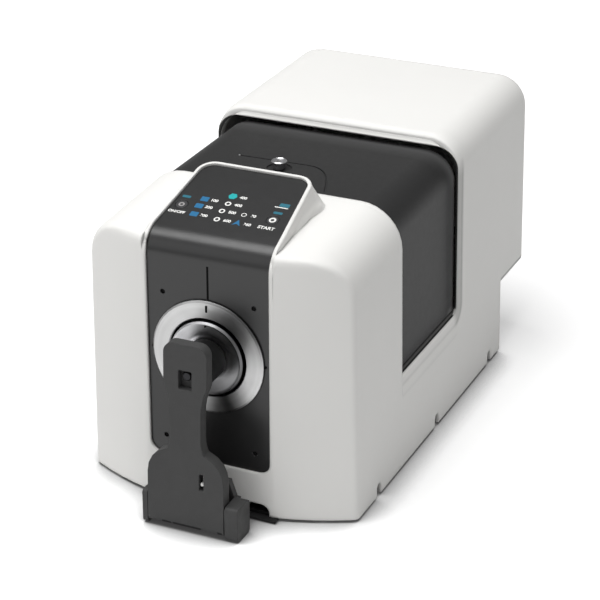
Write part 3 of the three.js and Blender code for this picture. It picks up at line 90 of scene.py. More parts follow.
class Shader:
    """A small builder for node materials."""

    def __init__(self, name):
        self.material = bpy.data.materials.new(name)
        self.material.use_nodes = True
        self.tree = self.material.node_tree
        self.tree.nodes.clear()
        self.place = self.node("ShaderNodeTexCoord").outputs["Object"]
        self.out = self.node("ShaderNodeOutputMaterial")

    def node(self, kind, **values):
        """New node of a kind, with its settings."""
        made = self.tree.nodes.new(kind)
        for key, value in values.items():
            setattr(made, key, value)
        return made

    def link(self, source, target):
        self.tree.links.new(source, target)

    def axes(self):
        """The X, Y and Z of the shaded place, in metres in the frame at rest."""
        parts = self.node("ShaderNodeSeparateXYZ")
        self.link(self.place, parts.inputs[0])
        return parts.outputs

    def noise(self, scale, detail=2, place=None):
        """Random field over the place, or over another vector."""
        made = self.node("ShaderNodeTexNoise")
        made.inputs["Scale"].default_value = scale
        made.inputs["Detail"].default_value = detail
        self.link(place or self.place, made.inputs["Vector"])
        return made.outputs["Fac"]

    def span(self, source, low, high, start=0.3, end=0.7):
        """Low at the start of the source's range, high at its end, and level beyond. The range
        is the middle of a noise if none is given."""
        made = self.node("ShaderNodeMapRange")
        made.inputs["From Min"].default_value = start
        made.inputs["From Max"].default_value = end
        made.inputs["To Min"].default_value = low
        made.inputs["To Max"].default_value = high
        self.link(source, made.inputs["Value"])
        return made.outputs["Result"]

    def blend(self, factor, first, second):
        """Colour between two, each a colour or a socket."""
        made = self.node("ShaderNodeMix", data_type="RGBA")
        self.link(factor, made.inputs["Factor"])
        for socket, value in ((made.inputs[6], first), (made.inputs[7], second)):
            if isinstance(value, tuple):
                socket.default_value = (*value, 1)
            else:
                self.link(value, socket)
        return made.outputs[2]

    def bump(self, height, strength, distance, normal=None):
        """Normal raised by a height field, on top of another normal if there is one."""
        made = self.node("ShaderNodeBump")
        made.inputs["Strength"].default_value = strength
        made.inputs["Distance"].default_value = distance
        self.link(height, made.inputs["Height"])
        if normal:
            self.link(normal, made.inputs["Normal"])
        return made.outputs["Normal"]

    def soft_edges(self, radius):
        """Normal that rounds edges by a radius."""
        made = self.node("ShaderNodeBevel", samples=EDGE_SAMPLES)
        made.inputs["Radius"].default_value = radius
        return made.outputs["Normal"]

    def painted_gap_shade(self, reach, low, samples=EDGE_SAMPLES):
        """Painted shade: 1 on open faces, falling to low in narrow gaps and grooves."""
        made = self.node("ShaderNodeAmbientOcclusion", samples=samples)
        made.inputs["Distance"].default_value = reach
        return self.span(made.outputs["AO"], low, 1, *OPEN_RANGE)

    def scaled(self, colour, factor):
        """Colour made lighter or darker by a factor."""
        made = self.node("ShaderNodeVectorMath", operation="SCALE")
        self.link(colour, made.inputs[0])
        self.link(factor, made.inputs["Scale"])
        return made.outputs[0]

    def product(self, *parts):
        """The parts multiplied, each a number or a socket."""
        return self.sum(*parts, operation="MULTIPLY")

    def peak(self, source, start, middle, end):
        """1 at the middle, falling to 0 at the start and the end."""
        rise = self.span(source, 0, 1, start, middle)
        fall = self.span(source, 1, 0, middle, end)
        return self.product(rise, fall)

    def reach(self, first, second):
        """Length of the positive parts of two values."""
        pair = self.node("ShaderNodeCombineXYZ")
        for value, target in zip((first, second), pair.inputs):
            self.link(self.sum(value, 0.0, operation="MAXIMUM"), target)
        length = self.node("ShaderNodeVectorMath", operation="LENGTH")
        self.link(pair.outputs[0], length.inputs[0])
        return length.outputs["Value"]

    def sum(self, *parts, operation="ADD"):
        """The parts joined by one operation, each a number or a socket."""
        total = parts[0]
        for part in parts[1:]:
            made = self.node("ShaderNodeMath", operation=operation)
            for socket, value in zip(made.inputs, (total, part)):
                if isinstance(value, (int, float)):
                    socket.default_value = value
                else:
                    self.link(value, socket)
            total = made.outputs[0]
        return total


def shade(base, share):
    """Colour made lighter or darker by a share, up to full white."""
    return tuple(min(1, c * share) for c in base)


SLOW_SCALE = 14
FINE_SCALE = 160
GRAIN_HEIGHT = 0.00005
SCRATCH_SCALE = 90
SCRATCH_STRETCH = (1, 30, 30)
SCRATCH_HEIGHT = 0.00003


def surface(name, base, rough, metal=0.0, grain=900, grain_strength=0.25, variation=0.03,
            rough_swing=0.05, edge=0.0004, scratch=0.0, specular=0.5, crevice=0.002,
            crevice_shade=0.25, extra=None):
    """Moulded, painted or metal finish: soft edges, fine grain, slow changes of tone and gloss, painted
    shade in gaps.
    """
    s = Shader(name)
    principled = s.node("ShaderNodeBsdfPrincipled")
    slow = s.noise(SLOW_SCALE, 3)
    fine = s.noise(FINE_SCALE, 3)
    toned = s.blend(s.span(slow, 0, 1), shade(base, 1 - variation), shade(base, 1 + variation))
    principled.inputs["Metallic"].default_value = metal
    normal = s.soft_edges(edge) if edge else None
    # Painted shade: colour and specular level are darkened in narrow gaps and grooves
    painted_shade_share = s.painted_gap_shade(crevice, crevice_shade)
    toned = s.scaled(toned, painted_shade_share)
    s.link(s.product(painted_shade_share, specular), principled.inputs["Specular IOR Level"])
    if extra:
        toned, normal = extra(s, toned, normal)
    normal = s.bump(s.noise(grain), grain_strength, GRAIN_HEIGHT, normal)
    if scratch:
        stretched = s.node("ShaderNodeMapping")
        stretched.inputs["Scale"].default_value = SCRATCH_STRETCH
        s.link(s.place, stretched.inputs["Vector"])
        lines = s.noise(SCRATCH_SCALE, place=stretched.outputs["Vector"])
        normal = s.bump(lines, scratch, SCRATCH_HEIGHT, normal)
    s.link(toned, principled.inputs["Base Color"])
    s.link(s.span(fine, rough - rough_swing, rough + rough_swing), principled.inputs["Roughness"])
    s.link(normal, principled.inputs["Normal"])
    s.link(principled.outputs[0], s.out.inputs["Surface"])
    return s.material


TURNED_ANISOTROPY = 0.6
TURNED_EDGE = 0.0004
TURNED_ROUGH_SWING = 0.05
TURNED_ROUGH_SCALE = 60
BROAD_MARKS = 9
BROAD_SHADES = (0.93, 1.04)
MARK_STRENGTH = 0.25
MARK_HEIGHT = 0.00004
RIM_BLEND = 12 * MM


def turned_metal(name, base, rough, centre, pitch, sweeps, rim=(1.0, 1.001), painted_rim_shade=1.0):
    """Lathe-turned metal: fine circular marks about an axis along Y, with painted highlights and
    painted shade for the broad light and dark sweeps that reflections make on such faces; sweeps
    are (share of the turn, tone). The tone changes to painted_rim_shade, a painted shade, between
    the two distances of rim, on the side towards +X."""
    s = Shader(name)
    principled = s.node("ShaderNodeBsdfPrincipled")
    principled.inputs["Metallic"].default_value = 1
    principled.inputs["Anisotropic"].default_value = TURNED_ANISOTROPY
    apart = s.node("ShaderNodeVectorMath", operation="SUBTRACT")
    apart.inputs[1].default_value = centre
    s.link(s.place, apart.inputs[0])
    flat = s.node("ShaderNodeVectorMath", operation="MULTIPLY")
    flat.inputs[1].default_value = (1, 0, 1)
    s.link(apart.outputs[0], flat.inputs[0])
    length = s.node("ShaderNodeVectorMath", operation="LENGTH")
    s.link(flat.outputs[0], length.inputs[0])
    radial = s.node("ShaderNodeCombineXYZ")
    s.link(length.outputs["Value"], radial.inputs[0])
    marks = s.noise(1 / pitch, place=radial.outputs[0])
    broad = s.noise(1 / (pitch * BROAD_MARKS), place=radial.outputs[0])
    toned = s.blend(s.span(broad, 0, 1), *[shade(base, share) for share in BROAD_SHADES])
    parts = s.node("ShaderNodeSeparateXYZ")
    s.link(flat.outputs[0], parts.inputs[0])
    turn = s.node("ShaderNodeMath", operation="ARCTAN2")
    s.link(parts.outputs["Z"], turn.inputs[0])
    s.link(parts.outputs["X"], turn.inputs[1])
    # Painted highlights and painted shade by the angle round the axis
    painted_sweep_ramp = s.node("ShaderNodeValToRGB")
    painted_sweep_ramp.color_ramp.interpolation = "B_SPLINE"
    stops = painted_sweep_ramp.color_ramp.elements
    while len(stops) < len(sweeps):
        stops.new(0.5)
    for stop, (share, tone) in zip(stops, sweeps):
        stop.position = share
        stop.color = (tone, tone, tone, 1)
    s.link(s.span(turn.outputs[0], 0, 1, -math.pi, math.pi), painted_sweep_ramp.inputs[0])
    tinted = s.node("ShaderNodeMix", data_type="RGBA", blend_type="MULTIPLY")
    tinted.inputs["Factor"].default_value = 1
    s.link(toned, tinted.inputs[6])
    s.link(painted_sweep_ramp.outputs[0], tinted.inputs[7])
    # Painted shade on the rim's side towards +X
    outside = s.span(length.outputs["Value"], 0, 1, *rim)
    change = s.span(parts.outputs["X"], 0, painted_rim_shade - 1, 0, RIM_BLEND)
    toned = s.scaled(tinted.outputs[2], s.sum(s.product(outside, change), 1.0))
    tangent = s.node("ShaderNodeTangent", direction_type="RADIAL", axis="Y")
    s.link(tangent.outputs[0], principled.inputs["Tangent"])
    s.link(toned, principled.inputs["Base Color"])
    gloss = s.noise(TURNED_ROUGH_SCALE, 3)
    gloss = s.span(gloss, rough - TURNED_ROUGH_SWING, rough + TURNED_ROUGH_SWING)
    s.link(gloss, principled.inputs["Roughness"])
    normal = s.bump(marks, MARK_STRENGTH, MARK_HEIGHT, s.soft_edges(TURNED_EDGE))
    s.link(normal, principled.inputs["Normal"])
    s.link(principled.outputs[0], s.out.inputs["Surface"])
    return s.material


LIT_ROUGH = 0.3
LIT_BASE_SCALE = 500
LIT_BASE_SHADE = 0.8
LIT_GLOW_SCALE = 300
LIT_GLOW_SHADE = 0.75


def lit(name, base, glow, strength):
    """Small light window: tinted face with a soft glow that varies over it."""
    s = Shader(name)
    principled = s.node("ShaderNodeBsdfPrincipled")
    principled.inputs["Roughness"].default_value = LIT_ROUGH
    principled.inputs["Emission Strength"].default_value = strength
    face = s.blend(s.noise(LIT_BASE_SCALE, 1), shade(base, LIT_BASE_SHADE), base)
    clouds = s.span(s.noise(LIT_GLOW_SCALE, 1), 0, 1)
    shine = s.blend(clouds, shade(glow, LIT_GLOW_SHADE), glow)
    s.link(face, principled.inputs["Base Color"])
    s.link(shine, principled.inputs["Emission Color"])
    s.link(principled.outputs[0], s.out.inputs["Surface"])
    return s.material


BOARD_GREEN = (0.012, 0.09, 0.035)
TRACK_GREEN = (0.03, 0.16, 0.06)
TRACK_CELLS = 160
TRACK_WIDTHS = (0.02, 0.06)
TRACK_STRENGTH = 0.4
TRACK_HEIGHT = 0.00003
BOARD_ROUGH = (0.35, 0.5)
BOARD_ROUGH_SCALE = 200


def board_material(name):
    """Green coated circuit board with faint copper tracks."""
    s = Shader(name)
    principled = s.node("ShaderNodeBsdfPrincipled")
    cells = s.node("ShaderNodeTexVoronoi", feature="DISTANCE_TO_EDGE", distance="CHEBYCHEV")
    cells.inputs["Scale"].default_value = TRACK_CELLS
    s.link(s.place, cells.inputs["Vector"])
    tracks = s.span(cells.outputs["Distance"], 1, 0, *TRACK_WIDTHS)
    toned = s.blend(tracks, BOARD_GREEN, TRACK_GREEN)
    s.link(toned, principled.inputs["Base Color"])
    s.link(s.span(s.noise(BOARD_ROUGH_SCALE), *BOARD_ROUGH), principled.inputs["Roughness"])
    s.link(s.bump(tracks, TRACK_STRENGTH, TRACK_HEIGHT), principled.inputs["Normal"])
    s.link(principled.outputs[0], s.out.inputs["Surface"])
    return s.material


# Places on the cover, in the source's millimetres
PORT = tuple(row(0, -24, 141))
HOOD_FRONT = 236
RIM_TOP = 90
RIM_CORNER = 8
MOUTH_HALF = 119.3
MOUTH_TOP = 248.8
MOUTH_CORNER = 21
MOUTH_DRAFT = 0.015
DRAFT_LEVEL = 133
OVERHANG_BOTTOM = 74.4

# Ranges over which the cover's painted shade and painted highlights change, in millimetres:
# places across, along and up, and widths counted from the edge of the lid's side opening
OUTER_SKIN = (117, 118)
OPENING_START = (100, 101)
OPENING_TOP = (222, 240)
FLANK_WIDTH = (9, 13)
CREASE_WIDTHS = (6.5, 9, 11.5)
OUTER_CREASE_WIDTHS = (16, 19.5, 22)
LIP_WIDTH = (0.5, 4)
END_LINE_PLACES = (98.4, 100, 101.4)
END_LINE_BOTTOM = (68, 76)
END_LINE_TOP = (90, 92)
LOW_EDGE_START = (352, 353)
LOW_EDGE_TOP = (OVERHANG_BOTTOM + 1.5, OVERHANG_BOTTOM + 3.5)
BLOCK_SIDE = (55.5, 58)
BLOCK_BOTTOM = (246, 250)
BLOCK_END = (92, 96)
MOUTH_FACE_START = (235, 235.6)
MOUTH_FACE_END = (236.15, 236.4)
LEDGE_BOTTOM = (87, 88)
LEDGE_TOP = (90.4, 91)
LEDGE_BLACK_SIDE = (119.4, 119.8)
LEDGE_GREY_SIDE = (117.4, 117.8)
LINE_BLUR = 0.2

# Painted shade (below 0) and painted highlights (above 0), as shares of the cover's own tone
FLANK_SHADE = -0.34
CREASE_SHADE = -0.12
OUTER_CREASE_SHADE = -0.06
LIP_HIGHLIGHT = 0.14
END_LINE_SHADE = -0.22
LOW_EDGE_SHADE = -0.5
BLOCK_HIGHLIGHT = 0.2
# Share of tone the ledge keeps under its painted shade
LEDGE_GREY_TONE = 0.17

# Share of the tone that is left on a black line of painted shade, and the relief of the creases
GAP_SHADE_SHARE = 0.015
CREASE_STRENGTH = 0.6
CREASE_HEIGHT = 5 * MM


def lid_opening_painted_shading(s, toned, normal):
    """The cover round the lid, with painted shade and painted highlights: a black line of painted
    shade inside the opening and on the ledge, a painted highlight on the lip below it, soft creases
    of bumped relief with painted shade, painted shade on the flank, at the end of the opening and
    along the overhang's lower edge, and a painted highlight beside the status panel."""
    x, y, z = s.axes()
    across = s.sum(x, 0.0, operation="ABSOLUTE")
    behind = s.sum(y, row(0, HOOD_FRONT - RIM_CORNER, 0).y, operation="SUBTRACT")
    below = s.sum((RIM_TOP + RIM_CORNER) * MM, z, operation="SUBTRACT")
    apart = s.sum(s.reach(behind, below), RIM_CORNER * MM, operation="SUBTRACT")
    upright = s.span(behind, 0, 1, 0, RIM_CORNER * MM)
    level = s.span(behind, 1, 0, 0, RIM_CORNER * MM)
    side = s.span(across, 0, 1, *lengths(OUTER_SKIN))
    aft = s.span(y, 0, 1, *depths(OPENING_START))
    zone = s.product(side, aft, s.span(z, 1, 0, *lengths(OPENING_TOP)))
    # Painted shade on the flank and in the creases, and a painted highlight on the lip
    flank = s.product(upright, s.span(apart, 1, 0, *lengths(FLANK_WIDTH)), FLANK_SHADE)
    crease = s.product(s.peak(apart, *lengths(CREASE_WIDTHS)), CREASE_SHADE)
    outer_crease = s.product(level, s.peak(apart, *lengths(OUTER_CREASE_WIDTHS)), OUTER_CREASE_SHADE)
    lip = s.product(level, s.span(apart, 1, 0, *lengths(LIP_WIDTH)), LIP_HIGHLIGHT)
    # Painted shade at the end of the opening and along the overhang's lower edge, and a painted highlight
    # beside the status panel
    end_painted_shade = s.product(side, s.peak(y, *depths(END_LINE_PLACES)),
                         s.span(z, 0, 1, *lengths(END_LINE_BOTTOM)),
                         s.span(z, 1, 0, *lengths(END_LINE_TOP)), END_LINE_SHADE)
    low_edge_painted_shade = s.product(s.span(y, 0, 1, *depths(LOW_EDGE_START)),
                         s.span(z, 1, 0, *lengths(LOW_EDGE_TOP)), LOW_EDGE_SHADE)
    beside_panel_highlight = s.product(s.span(across, 0, 1, *lengths(BLOCK_SIDE)),
                            s.span(z, 0, 1, *lengths(BLOCK_BOTTOM)),
                            s.span(y, 1, 0, *depths(BLOCK_END)), BLOCK_HIGHLIGHT)
    band_painted_shading = s.product(s.sum(flank, crease, outer_crease, lip), zone)
    painted_shading = s.sum(band_painted_shading, end_painted_shade, low_edge_painted_shade, beside_panel_highlight, 1.0)
    creases = s.product(s.sum(crease, outer_crease), zone)
    normal = s.bump(creases, CREASE_STRENGTH, CREASE_HEIGHT, normal)

    # Black of painted shade in the mouth's corners and along the ledge, where the gap to the lid lies in
    # shade
    draft = s.product(s.sum(z, -DRAFT_LEVEL * MM), MOUTH_DRAFT)
    mouth_x = s.sum(across, draft, (MOUTH_CORNER - MOUTH_HALF) * MM)
    mouth_z = s.sum(z, (MOUTH_CORNER - MOUTH_TOP) * MM)
    mouth_edge = lengths((MOUTH_CORNER - LINE_BLUR, MOUTH_CORNER + LINE_BLUR))
    inside = s.span(s.reach(mouth_x, mouth_z), 1, 0, *mouth_edge)
    face = s.product(s.span(y, 0, 1, *depths(MOUTH_FACE_START)),
                     s.span(y, 1, 0, *depths(MOUTH_FACE_END)))
    ledge = s.product(aft, s.span(z, 0, 1, *lengths(LEDGE_BOTTOM)),
                      s.span(z, 1, 0, *lengths(LEDGE_TOP)))
    ledge_gap_shade = s.product(ledge, s.span(across, 1, 0, *lengths(LEDGE_BLACK_SIDE)))
    black = s.sum(s.product(inside, face), ledge_gap_shade)
    grey = s.product(ledge, s.span(across, LEDGE_GREY_TONE, 0, *lengths(LEDGE_GREY_SIDE)))
    kept = s.sum(s.span(black, 1, GAP_SHADE_SHARE, 0, 1), grey)
    return s.scaled(toned, s.product(painted_shading, kept)), normal


# Where the lid's tone is lifted, in the source's millimetres, and by how many doublings
LID_SIDE_RISE = (223, 240)
LID_TOP_RISE = (212, 240)
LID_FOOT = (91, 98)
LID_SIDE_LIFT = 3.4
LID_TOP_LIFT = 1.9
LID_FOOT_LIFT = 2.2


def lid_edges(s, toned, normal):
    """The lid's tone, lifted where the cover's edges would shade it more than they do on the
    product."""
    _, y, z = s.axes()
    above = s.span(z, 0, 1, *lengths(OPENING_TOP))
    beside = s.span(z, 1, 0, *lengths(OPENING_TOP))
    steps = s.sum(s.product(beside, s.span(y, 0, LID_SIDE_LIFT, *depths(LID_SIDE_RISE))),
                  s.product(above, s.span(y, 0, LID_TOP_LIFT, *depths(LID_TOP_RISE))),
                  s.span(z, LID_FOOT_LIFT, 0, *lengths(LID_FOOT)))
    return s.scaled(toned, s.sum(2.0, steps, operation="POWER")), normal


# Painted shade of recesses in the arm's front, in the source's millimetres: each is (middle, half width)
ARM_FACE = -72.6
ARM_NOTCHES = ((-18, 4.2), (0.8, 13), (31, 2.2))
NOTCH_END = (ARM_FACE + 12, ARM_FACE + 13)
NOTCH_BOTTOM = (3.4, 4.0)
NOTCH_TOP = (7.2, 7.8)
NOTCH_SHADE_SHARE = 0.08


def arm_notch_painted_shade(s, toned, normal):
    """Painted shade of shallow recesses along the lower edge of the arm's front, as dark patches in the
    colour.
    """
    x, y, z = s.axes()
    front = s.span(y, 1, 0, *depths(NOTCH_END))
    low = s.product(s.span(z, 0, 1, *lengths(NOTCH_BOTTOM)), s.span(z, 1, 0, *lengths(NOTCH_TOP)))
    spots = []
    for middle, half in ARM_NOTCHES:
        away = s.sum(s.sum(x, -middle * MM), 0.0, operation="ABSOLUTE")
        spots.append(s.span(away, 1, 0, *lengths((half - LINE_BLUR, half + LINE_BLUR))))
    # Painted shade: the colour is darkened in these patches
    notch_shade = s.product(front, low, s.sum(*spots))
    return s.scaled(toned, s.span(notch_shade, 1, NOTCH_SHADE_SHARE, 0, 1)), normal


# Finishes
MOULDING_TONE = (0.80, 0.795, 0.775)
white_moulding = surface("white_moulding", MOULDING_TONE, 0.5, variation=0.008, edge=0.0034,
                         grain_strength=0.12, specular=0.3, crevice=0.0025, crevice_shade=0.45,
                         extra=lid_opening_painted_shading)
white_trim = surface("white_trim", MOULDING_TONE, 0.5, variation=0.008, edge=0.0005,
                     grain_strength=0.12, specular=0.3, crevice=0.001, crevice_shade=0.6)
fascia_black = surface("fascia_black", (0.018, 0.018, 0.0183), 0.3, rough_swing=0.02, edge=0.0008,
                       grain_strength=0.15)
lid_black = surface("lid_black", (0.027, 0.027, 0.0272), 0.5, rough_swing=0.015, edge=0.0008,
                    specular=0.17, crevice=0.0008, crevice_shade=0.3, extra=lid_edges)
arm_black = surface("arm_black", (0.050, 0.050, 0.050), 0.6, variation=0.04, edge=0.0015, grain=700,
                    grain_strength=0.4, specular=0.3, extra=arm_notch_painted_shade)
cup_black = surface("cup_black", (0.007, 0.007, 0.007), 0.45, variation=0.05, edge=0.0006,
                    specular=0.12)
key_black = surface("key_black", (0.035, 0.035, 0.037), 0.4, edge=0.0006, specular=0.4)
inner_black = surface("inner_black", (0.012, 0.012, 0.0125), 0.6, variation=0.06, specular=0.25)
mark_black = surface("mark_black", (0.004, 0.004, 0.004), 0.7, edge=0, specular=0.05)
mark_white = surface("mark_white", (0.8, 0.8, 0.78), 0.45, edge=0, variation=0.02, crevice=0.0002)
mark_grey = surface("mark_grey", (0.3, 0.29, 0.29), 0.45, edge=0, variation=0.02, crevice=0.0002)
screw_dark = surface("screw_dark", (0.03, 0.03, 0.032), 0.3, metal=1, edge=0.0003)
# Painted highlights and painted shade of the reflections round the ring and the mask
RING_PAINTED_SWEEPS = ((0.0, 0.53), (0.17, 0.58), (0.24, 0.52), (0.29, 0.2), (0.315, 0.02), (0.34, 0.1),
               (0.39, 0.62), (0.44, 0.7), (0.5, 0.5), (0.56, 0.3), (0.61, 0.14), (0.67, 0.16),
               (0.735, 0.48), (0.80, 0.6), (0.9, 0.57), (1.0, 0.53))
MASK_PAINTED_SWEEPS = ((0.0, 0.8), (0.16, 0.7), (0.24, 0.6), (0.30, 0.4), (0.37, 0.42), (0.44, 0.45),
               (0.5, 0.6), (0.58, 0.8), (0.65, 0.75), (0.72, 0.7), (0.78, 0.75), (0.84, 0.85),
               (1.0, 0.8))
ring_metal = turned_metal("ring_metal", (0.88, 0.88, 0.88), 0.34, PORT, pitch=0.00045,
                          sweeps=RING_PAINTED_SWEEPS)
mask_metal = turned_metal("mask_metal", (0.80, 0.80, 0.82), 0.34, PORT, pitch=0.0004,
                          sweeps=MASK_PAINTED_SWEEPS, rim=(0.0290, 0.0305), painted_rim_shade=0.3)
knob_metal = surface("knob_metal", (0.62, 0.62, 0.63), 0.3, metal=1, scratch=0.2, edge=0.0003)
steel = surface("steel", (0.58, 0.59, 0.60), 0.32, metal=1, scratch=0.25, edge=0.0002)
sheet_zinc = surface("sheet_zinc", (0.42, 0.43, 0.45), 0.45, metal=0.9, variation=0.08, scratch=0.15,
                     edge=0.0003)
rubber = surface("rubber", (0.02, 0.02, 0.02), 0.8, variation=0.1, grain=400, grain_strength=0.5)
sphere_white = surface("sphere_white", (0.85, 0.85, 0.83), 0.85, variation=0.02, grain=1500,
                       grain_strength=0.4)
board = board_material("circuit_board")
sleeve_blue = surface("sleeve_blue", (0.03, 0.05, 0.14), 0.35, variation=0.04, edge=0.0005)
glow_blue = lit("glow_blue", (0.015, 0.13, 0.28), (0.02, 0.2, 0.4), 0.2)
glow_cyan = lit("glow_cyan", (0.01, 0.32, 0.33), (0.01, 0.4, 0.42), 0.3)
glow_dim = lit("glow_dim", (0.02, 0.13, 0.18), (0.02, 0.16, 0.22), 0.3)

CAD_MATERIALS = {
    white_moulding: ["main_cover"],
    fascia_black: ["front_fascia"],
    key_black: ["power_button", "measure_button"],
    lid_black: ["chamber_lid"],
    arm_black: ["holder_arm", "holder_bracket"],
    cup_black: ["clamp_cup"],
    inner_black: ["port_hub", "chassis_plate", "chamber_tray", "lens_barrel", "rear_panel", "dc_inlet"],
    ring_metal: ["port_outer_ring"],
    mask_metal: ["target_mask"],
    knob_metal: ["lid_knob"],
    steel: ["holder_pin", "holder_spring", "usb_port"],
    screw_dark: ["clamp_screw"],
    mark_white: ["arm_catch"],
    sheet_zinc: ["front_bulkhead", "chassis_side_left", "chassis_side_right", "lamp_left", "lamp_right",
                 "sphere_saddle", "spectrometer_body", "spectrometer_cover", "spectrometer_stand"],
    rubber: ["foot_front_left", "foot_front_right", "foot_rear_left", "foot_rear_right"],
    sphere_white: ["sphere_front", "sphere_rear"],
    board: ["status_board", "main_board", "power_board"],
    sleeve_blue: ["flash_capacitor_left", "flash_capacitor_right"],
}
SMOOTH_ANGLE = math.radians(32)


def smooth(mesh):
    """Smooth shading where faces meet at less than the smooth angle, led by the larger faces."""
    mesh.polygons.foreach_set("use_smooth", [True] * len(mesh.polygons))
    places = [tuple(round(c, 6) for c in vertex.co) for vertex in mesh.vertices]
    around = {}
    for face in mesh.polygons:
        for vertex in face.vertices:
            around.setdefault(places[vertex], []).append(face)
    limit = math.cos(SMOOTH_ANGLE)
    normals = []
    for face in mesh.polygons:
        for vertex in face.vertices:
            near = [f for f in around[places[vertex]] if f.normal.dot(face.normal) > limit]
            total = sum((f.normal * f.area for f in near), Vector((0, 0, 0)))
            normals.append(total.normalized() if total.length > 0 else face.normal)
    mesh.normals_split_custom_set(normals)


for finish, names in CAD_MATERIALS.items():
    for name in names:
        mesh = nodes[name].data
        mesh.materials.clear()
        mesh.materials.append(finish)
        smooth(mesh)


# Floor and light; the lift is the floor's own glow, which grows away from the part, so the floor
# near the part carries painted shade; close to the part it also carries a painted contact shadow
FLOOR_SIZE = 14
FLOOR_TONES = ((0.79, 0.79, 0.79), (0.81, 0.81, 0.81))
FLOOR_CLOUDS = 3
FLOOR_REACH = 0.05
FLOOR_SHADOW_SHARE = 0.12
FLOOR_SAMPLES = 20
NEAR_LIFT = 0.36
FAR_LIFT = 0.66
LIFT_DISTANCES = (0.3, 1.3)
BACKDROP_STRENGTH = 0.27


def floor_material():
    """Pale floor that camera and mirrored rays see lifted, with a painted contact shadow close to the
    part.
    """
    s = Shader("pale_floor")
    rays = s.node("ShaderNodeLightPath")
    seen_ray = s.sum(rays.outputs["Is Camera Ray"], rays.outputs["Is Glossy Ray"], operation="MAXIMUM")
    diffuse = s.node("ShaderNodeBsdfDiffuse")
    # Painted contact shadow: the floor's colour and lift fall in the gaps near the part, for camera and
    # mirrored rays
    painted_shade_share = s.painted_gap_shade(FLOOR_REACH, FLOOR_SHADOW_SHARE, FLOOR_SAMPLES)
    pale = s.blend(s.noise(FLOOR_CLOUDS), *FLOOR_TONES)
    closed = s.product(seen_ray, s.sum(1.0, painted_shade_share, operation="SUBTRACT"))
    s.link(s.scaled(pale, s.sum(1.0, closed, operation="SUBTRACT")), diffuse.inputs["Color"])
    lift = s.node("ShaderNodeEmission")
    lift.inputs["Color"].default_value = (1, 1, 1, 1)
    # Painted shade round the part: less lift near the part than far from it
    away = s.node("ShaderNodeVectorMath", operation="LENGTH")
    s.link(s.place, away.inputs[0])
    level = s.span(away.outputs["Value"], NEAR_LIFT, FAR_LIFT, *LIFT_DISTANCES)
    s.link(s.product(seen_ray, level, painted_shade_share), lift.inputs["Strength"])
    total = s.node("ShaderNodeAddShader")
    s.link(diffuse.outputs[0], total.inputs[0])
    s.link(lift.outputs[0], total.inputs[1])
    s.link(total.outputs[0], s.out.inputs["Surface"])
    return s.material


half = FLOOR_SIZE / 2
floor_mesh = bpy.data.meshes.new("pale_floor")
floor_mesh.from_pydata([(-half, -half, 0), (half, -half, 0), (half, half, 0), (-half, half, 0)],
                       [], [(0, 1, 2, 3)])
floor = bpy.data.objects.new("pale_floor", floor_mesh)
bpy.context.scene.collection.objects.link(floor)
floor.data.materials.append(floor_material())

world = bpy.data.worlds.new("studio")
world.use_nodes = True
backdrop = world.node_tree.nodes["Background"]
backdrop.inputs["Color"].default_value = (1, 1, 1, 1)
backdrop.inputs["Strength"].default_value = BACKDROP_STRENGTH
bpy.context.scene.world = world


def softbox(name, place, target, width, height, power):
    """Rectangular light at a place, facing a target."""
    light = bpy.data.lights.new(name, "AREA")
    light.shape = "RECTANGLE"
    light.size = width
    light.size_y = height
    light.energy = power
    made = bpy.data.objects.new(name, light)
    made.location = place
    made.rotation_euler = (Vector(target) - Vector(place)).to_track_quat("-Z", "Y").to_euler()
    bpy.context.scene.collection.objects.link(made)


softbox("top_light", place=(-0.25, -0.45, 2.4), target=(0, 0, 0.1), width=1.9, height=1.7, power=58)
softbox("left_light", place=(-1.6, -2.2, 1.5), target=(0, -0.1, 0.12), width=2.4, height=1.8, power=12)


# Makers of small pieces, in the source's millimetres
PRINT = 0.08
STANDOFF = 0.01
CORNER_STEPS = 3
RING_SIDES = 28
ROUND_SIDES = 16


def new_piece(name, vertices, faces, finish, body):
    """Piece of the visual model that rides a body, with its finish."""
    mesh = bpy.data.meshes.new(name)
    mesh.from_pydata([tuple(v) for v in vertices], [], faces)
    mesh.validate()
    mesh.materials.append(finish)
    smooth(mesh)
    piece = bpy.data.objects.new(name, mesh)
    bpy.context.scene.collection.objects.link(piece)
    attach(piece, body)


def prism(outline, low, high, inset=0.0):
    """Closed body between two copies of an outline; the top copy is drawn in by a share."""
    count = len(outline)
    centre = Vector((sum(p[0] for p in outline) / count, sum(p[1] for p in outline) / count))
    top = [centre + (Vector(p) - centre) * (1 - inset) for p in outline]
    points = [(u, v, low) for u, v in outline] + [(p.x, p.y, high) for p in top]
    faces = [tuple(range(count - 1, -1, -1)), tuple(range(count, 2 * count))]
    for i in range(count):
        j = (i + 1) % count
        faces.append((i, j, count + j, count + i))
    return points, faces


PANEL_SLOPE = math.radians(16.15)
PANEL_START = (-8.5, 243.6)
PLATE_FACE = -24


def on_panel(points):
    """Points of (x, distance up the slope, height) on the status panel."""
    placed = []
    for x, s, h in points:
        y = PANEL_START[0] + s * math.cos(PANEL_SLOPE) - h * math.sin(PANEL_SLOPE)
        z = PANEL_START[1] + s * math.sin(PANEL_SLOPE) + h * math.cos(PANEL_SLOPE)
        placed.append(row(x, y, z))
    return placed


def on_face(points):
    """Points of (x, z, distance out of the plate) on the vertical plate."""
    return [row(x, PLATE_FACE - h, z) for x, z, h in points]


def disc(u, v, radius, sides):
    """Outline of a circle, or of a figure with equal sides."""
    outline = []
    for i in range(sides):
        angle = 2 * math.pi * i / sides
        outline.append((u + radius * math.cos(angle), v + radius * math.sin(angle)))
    return outline


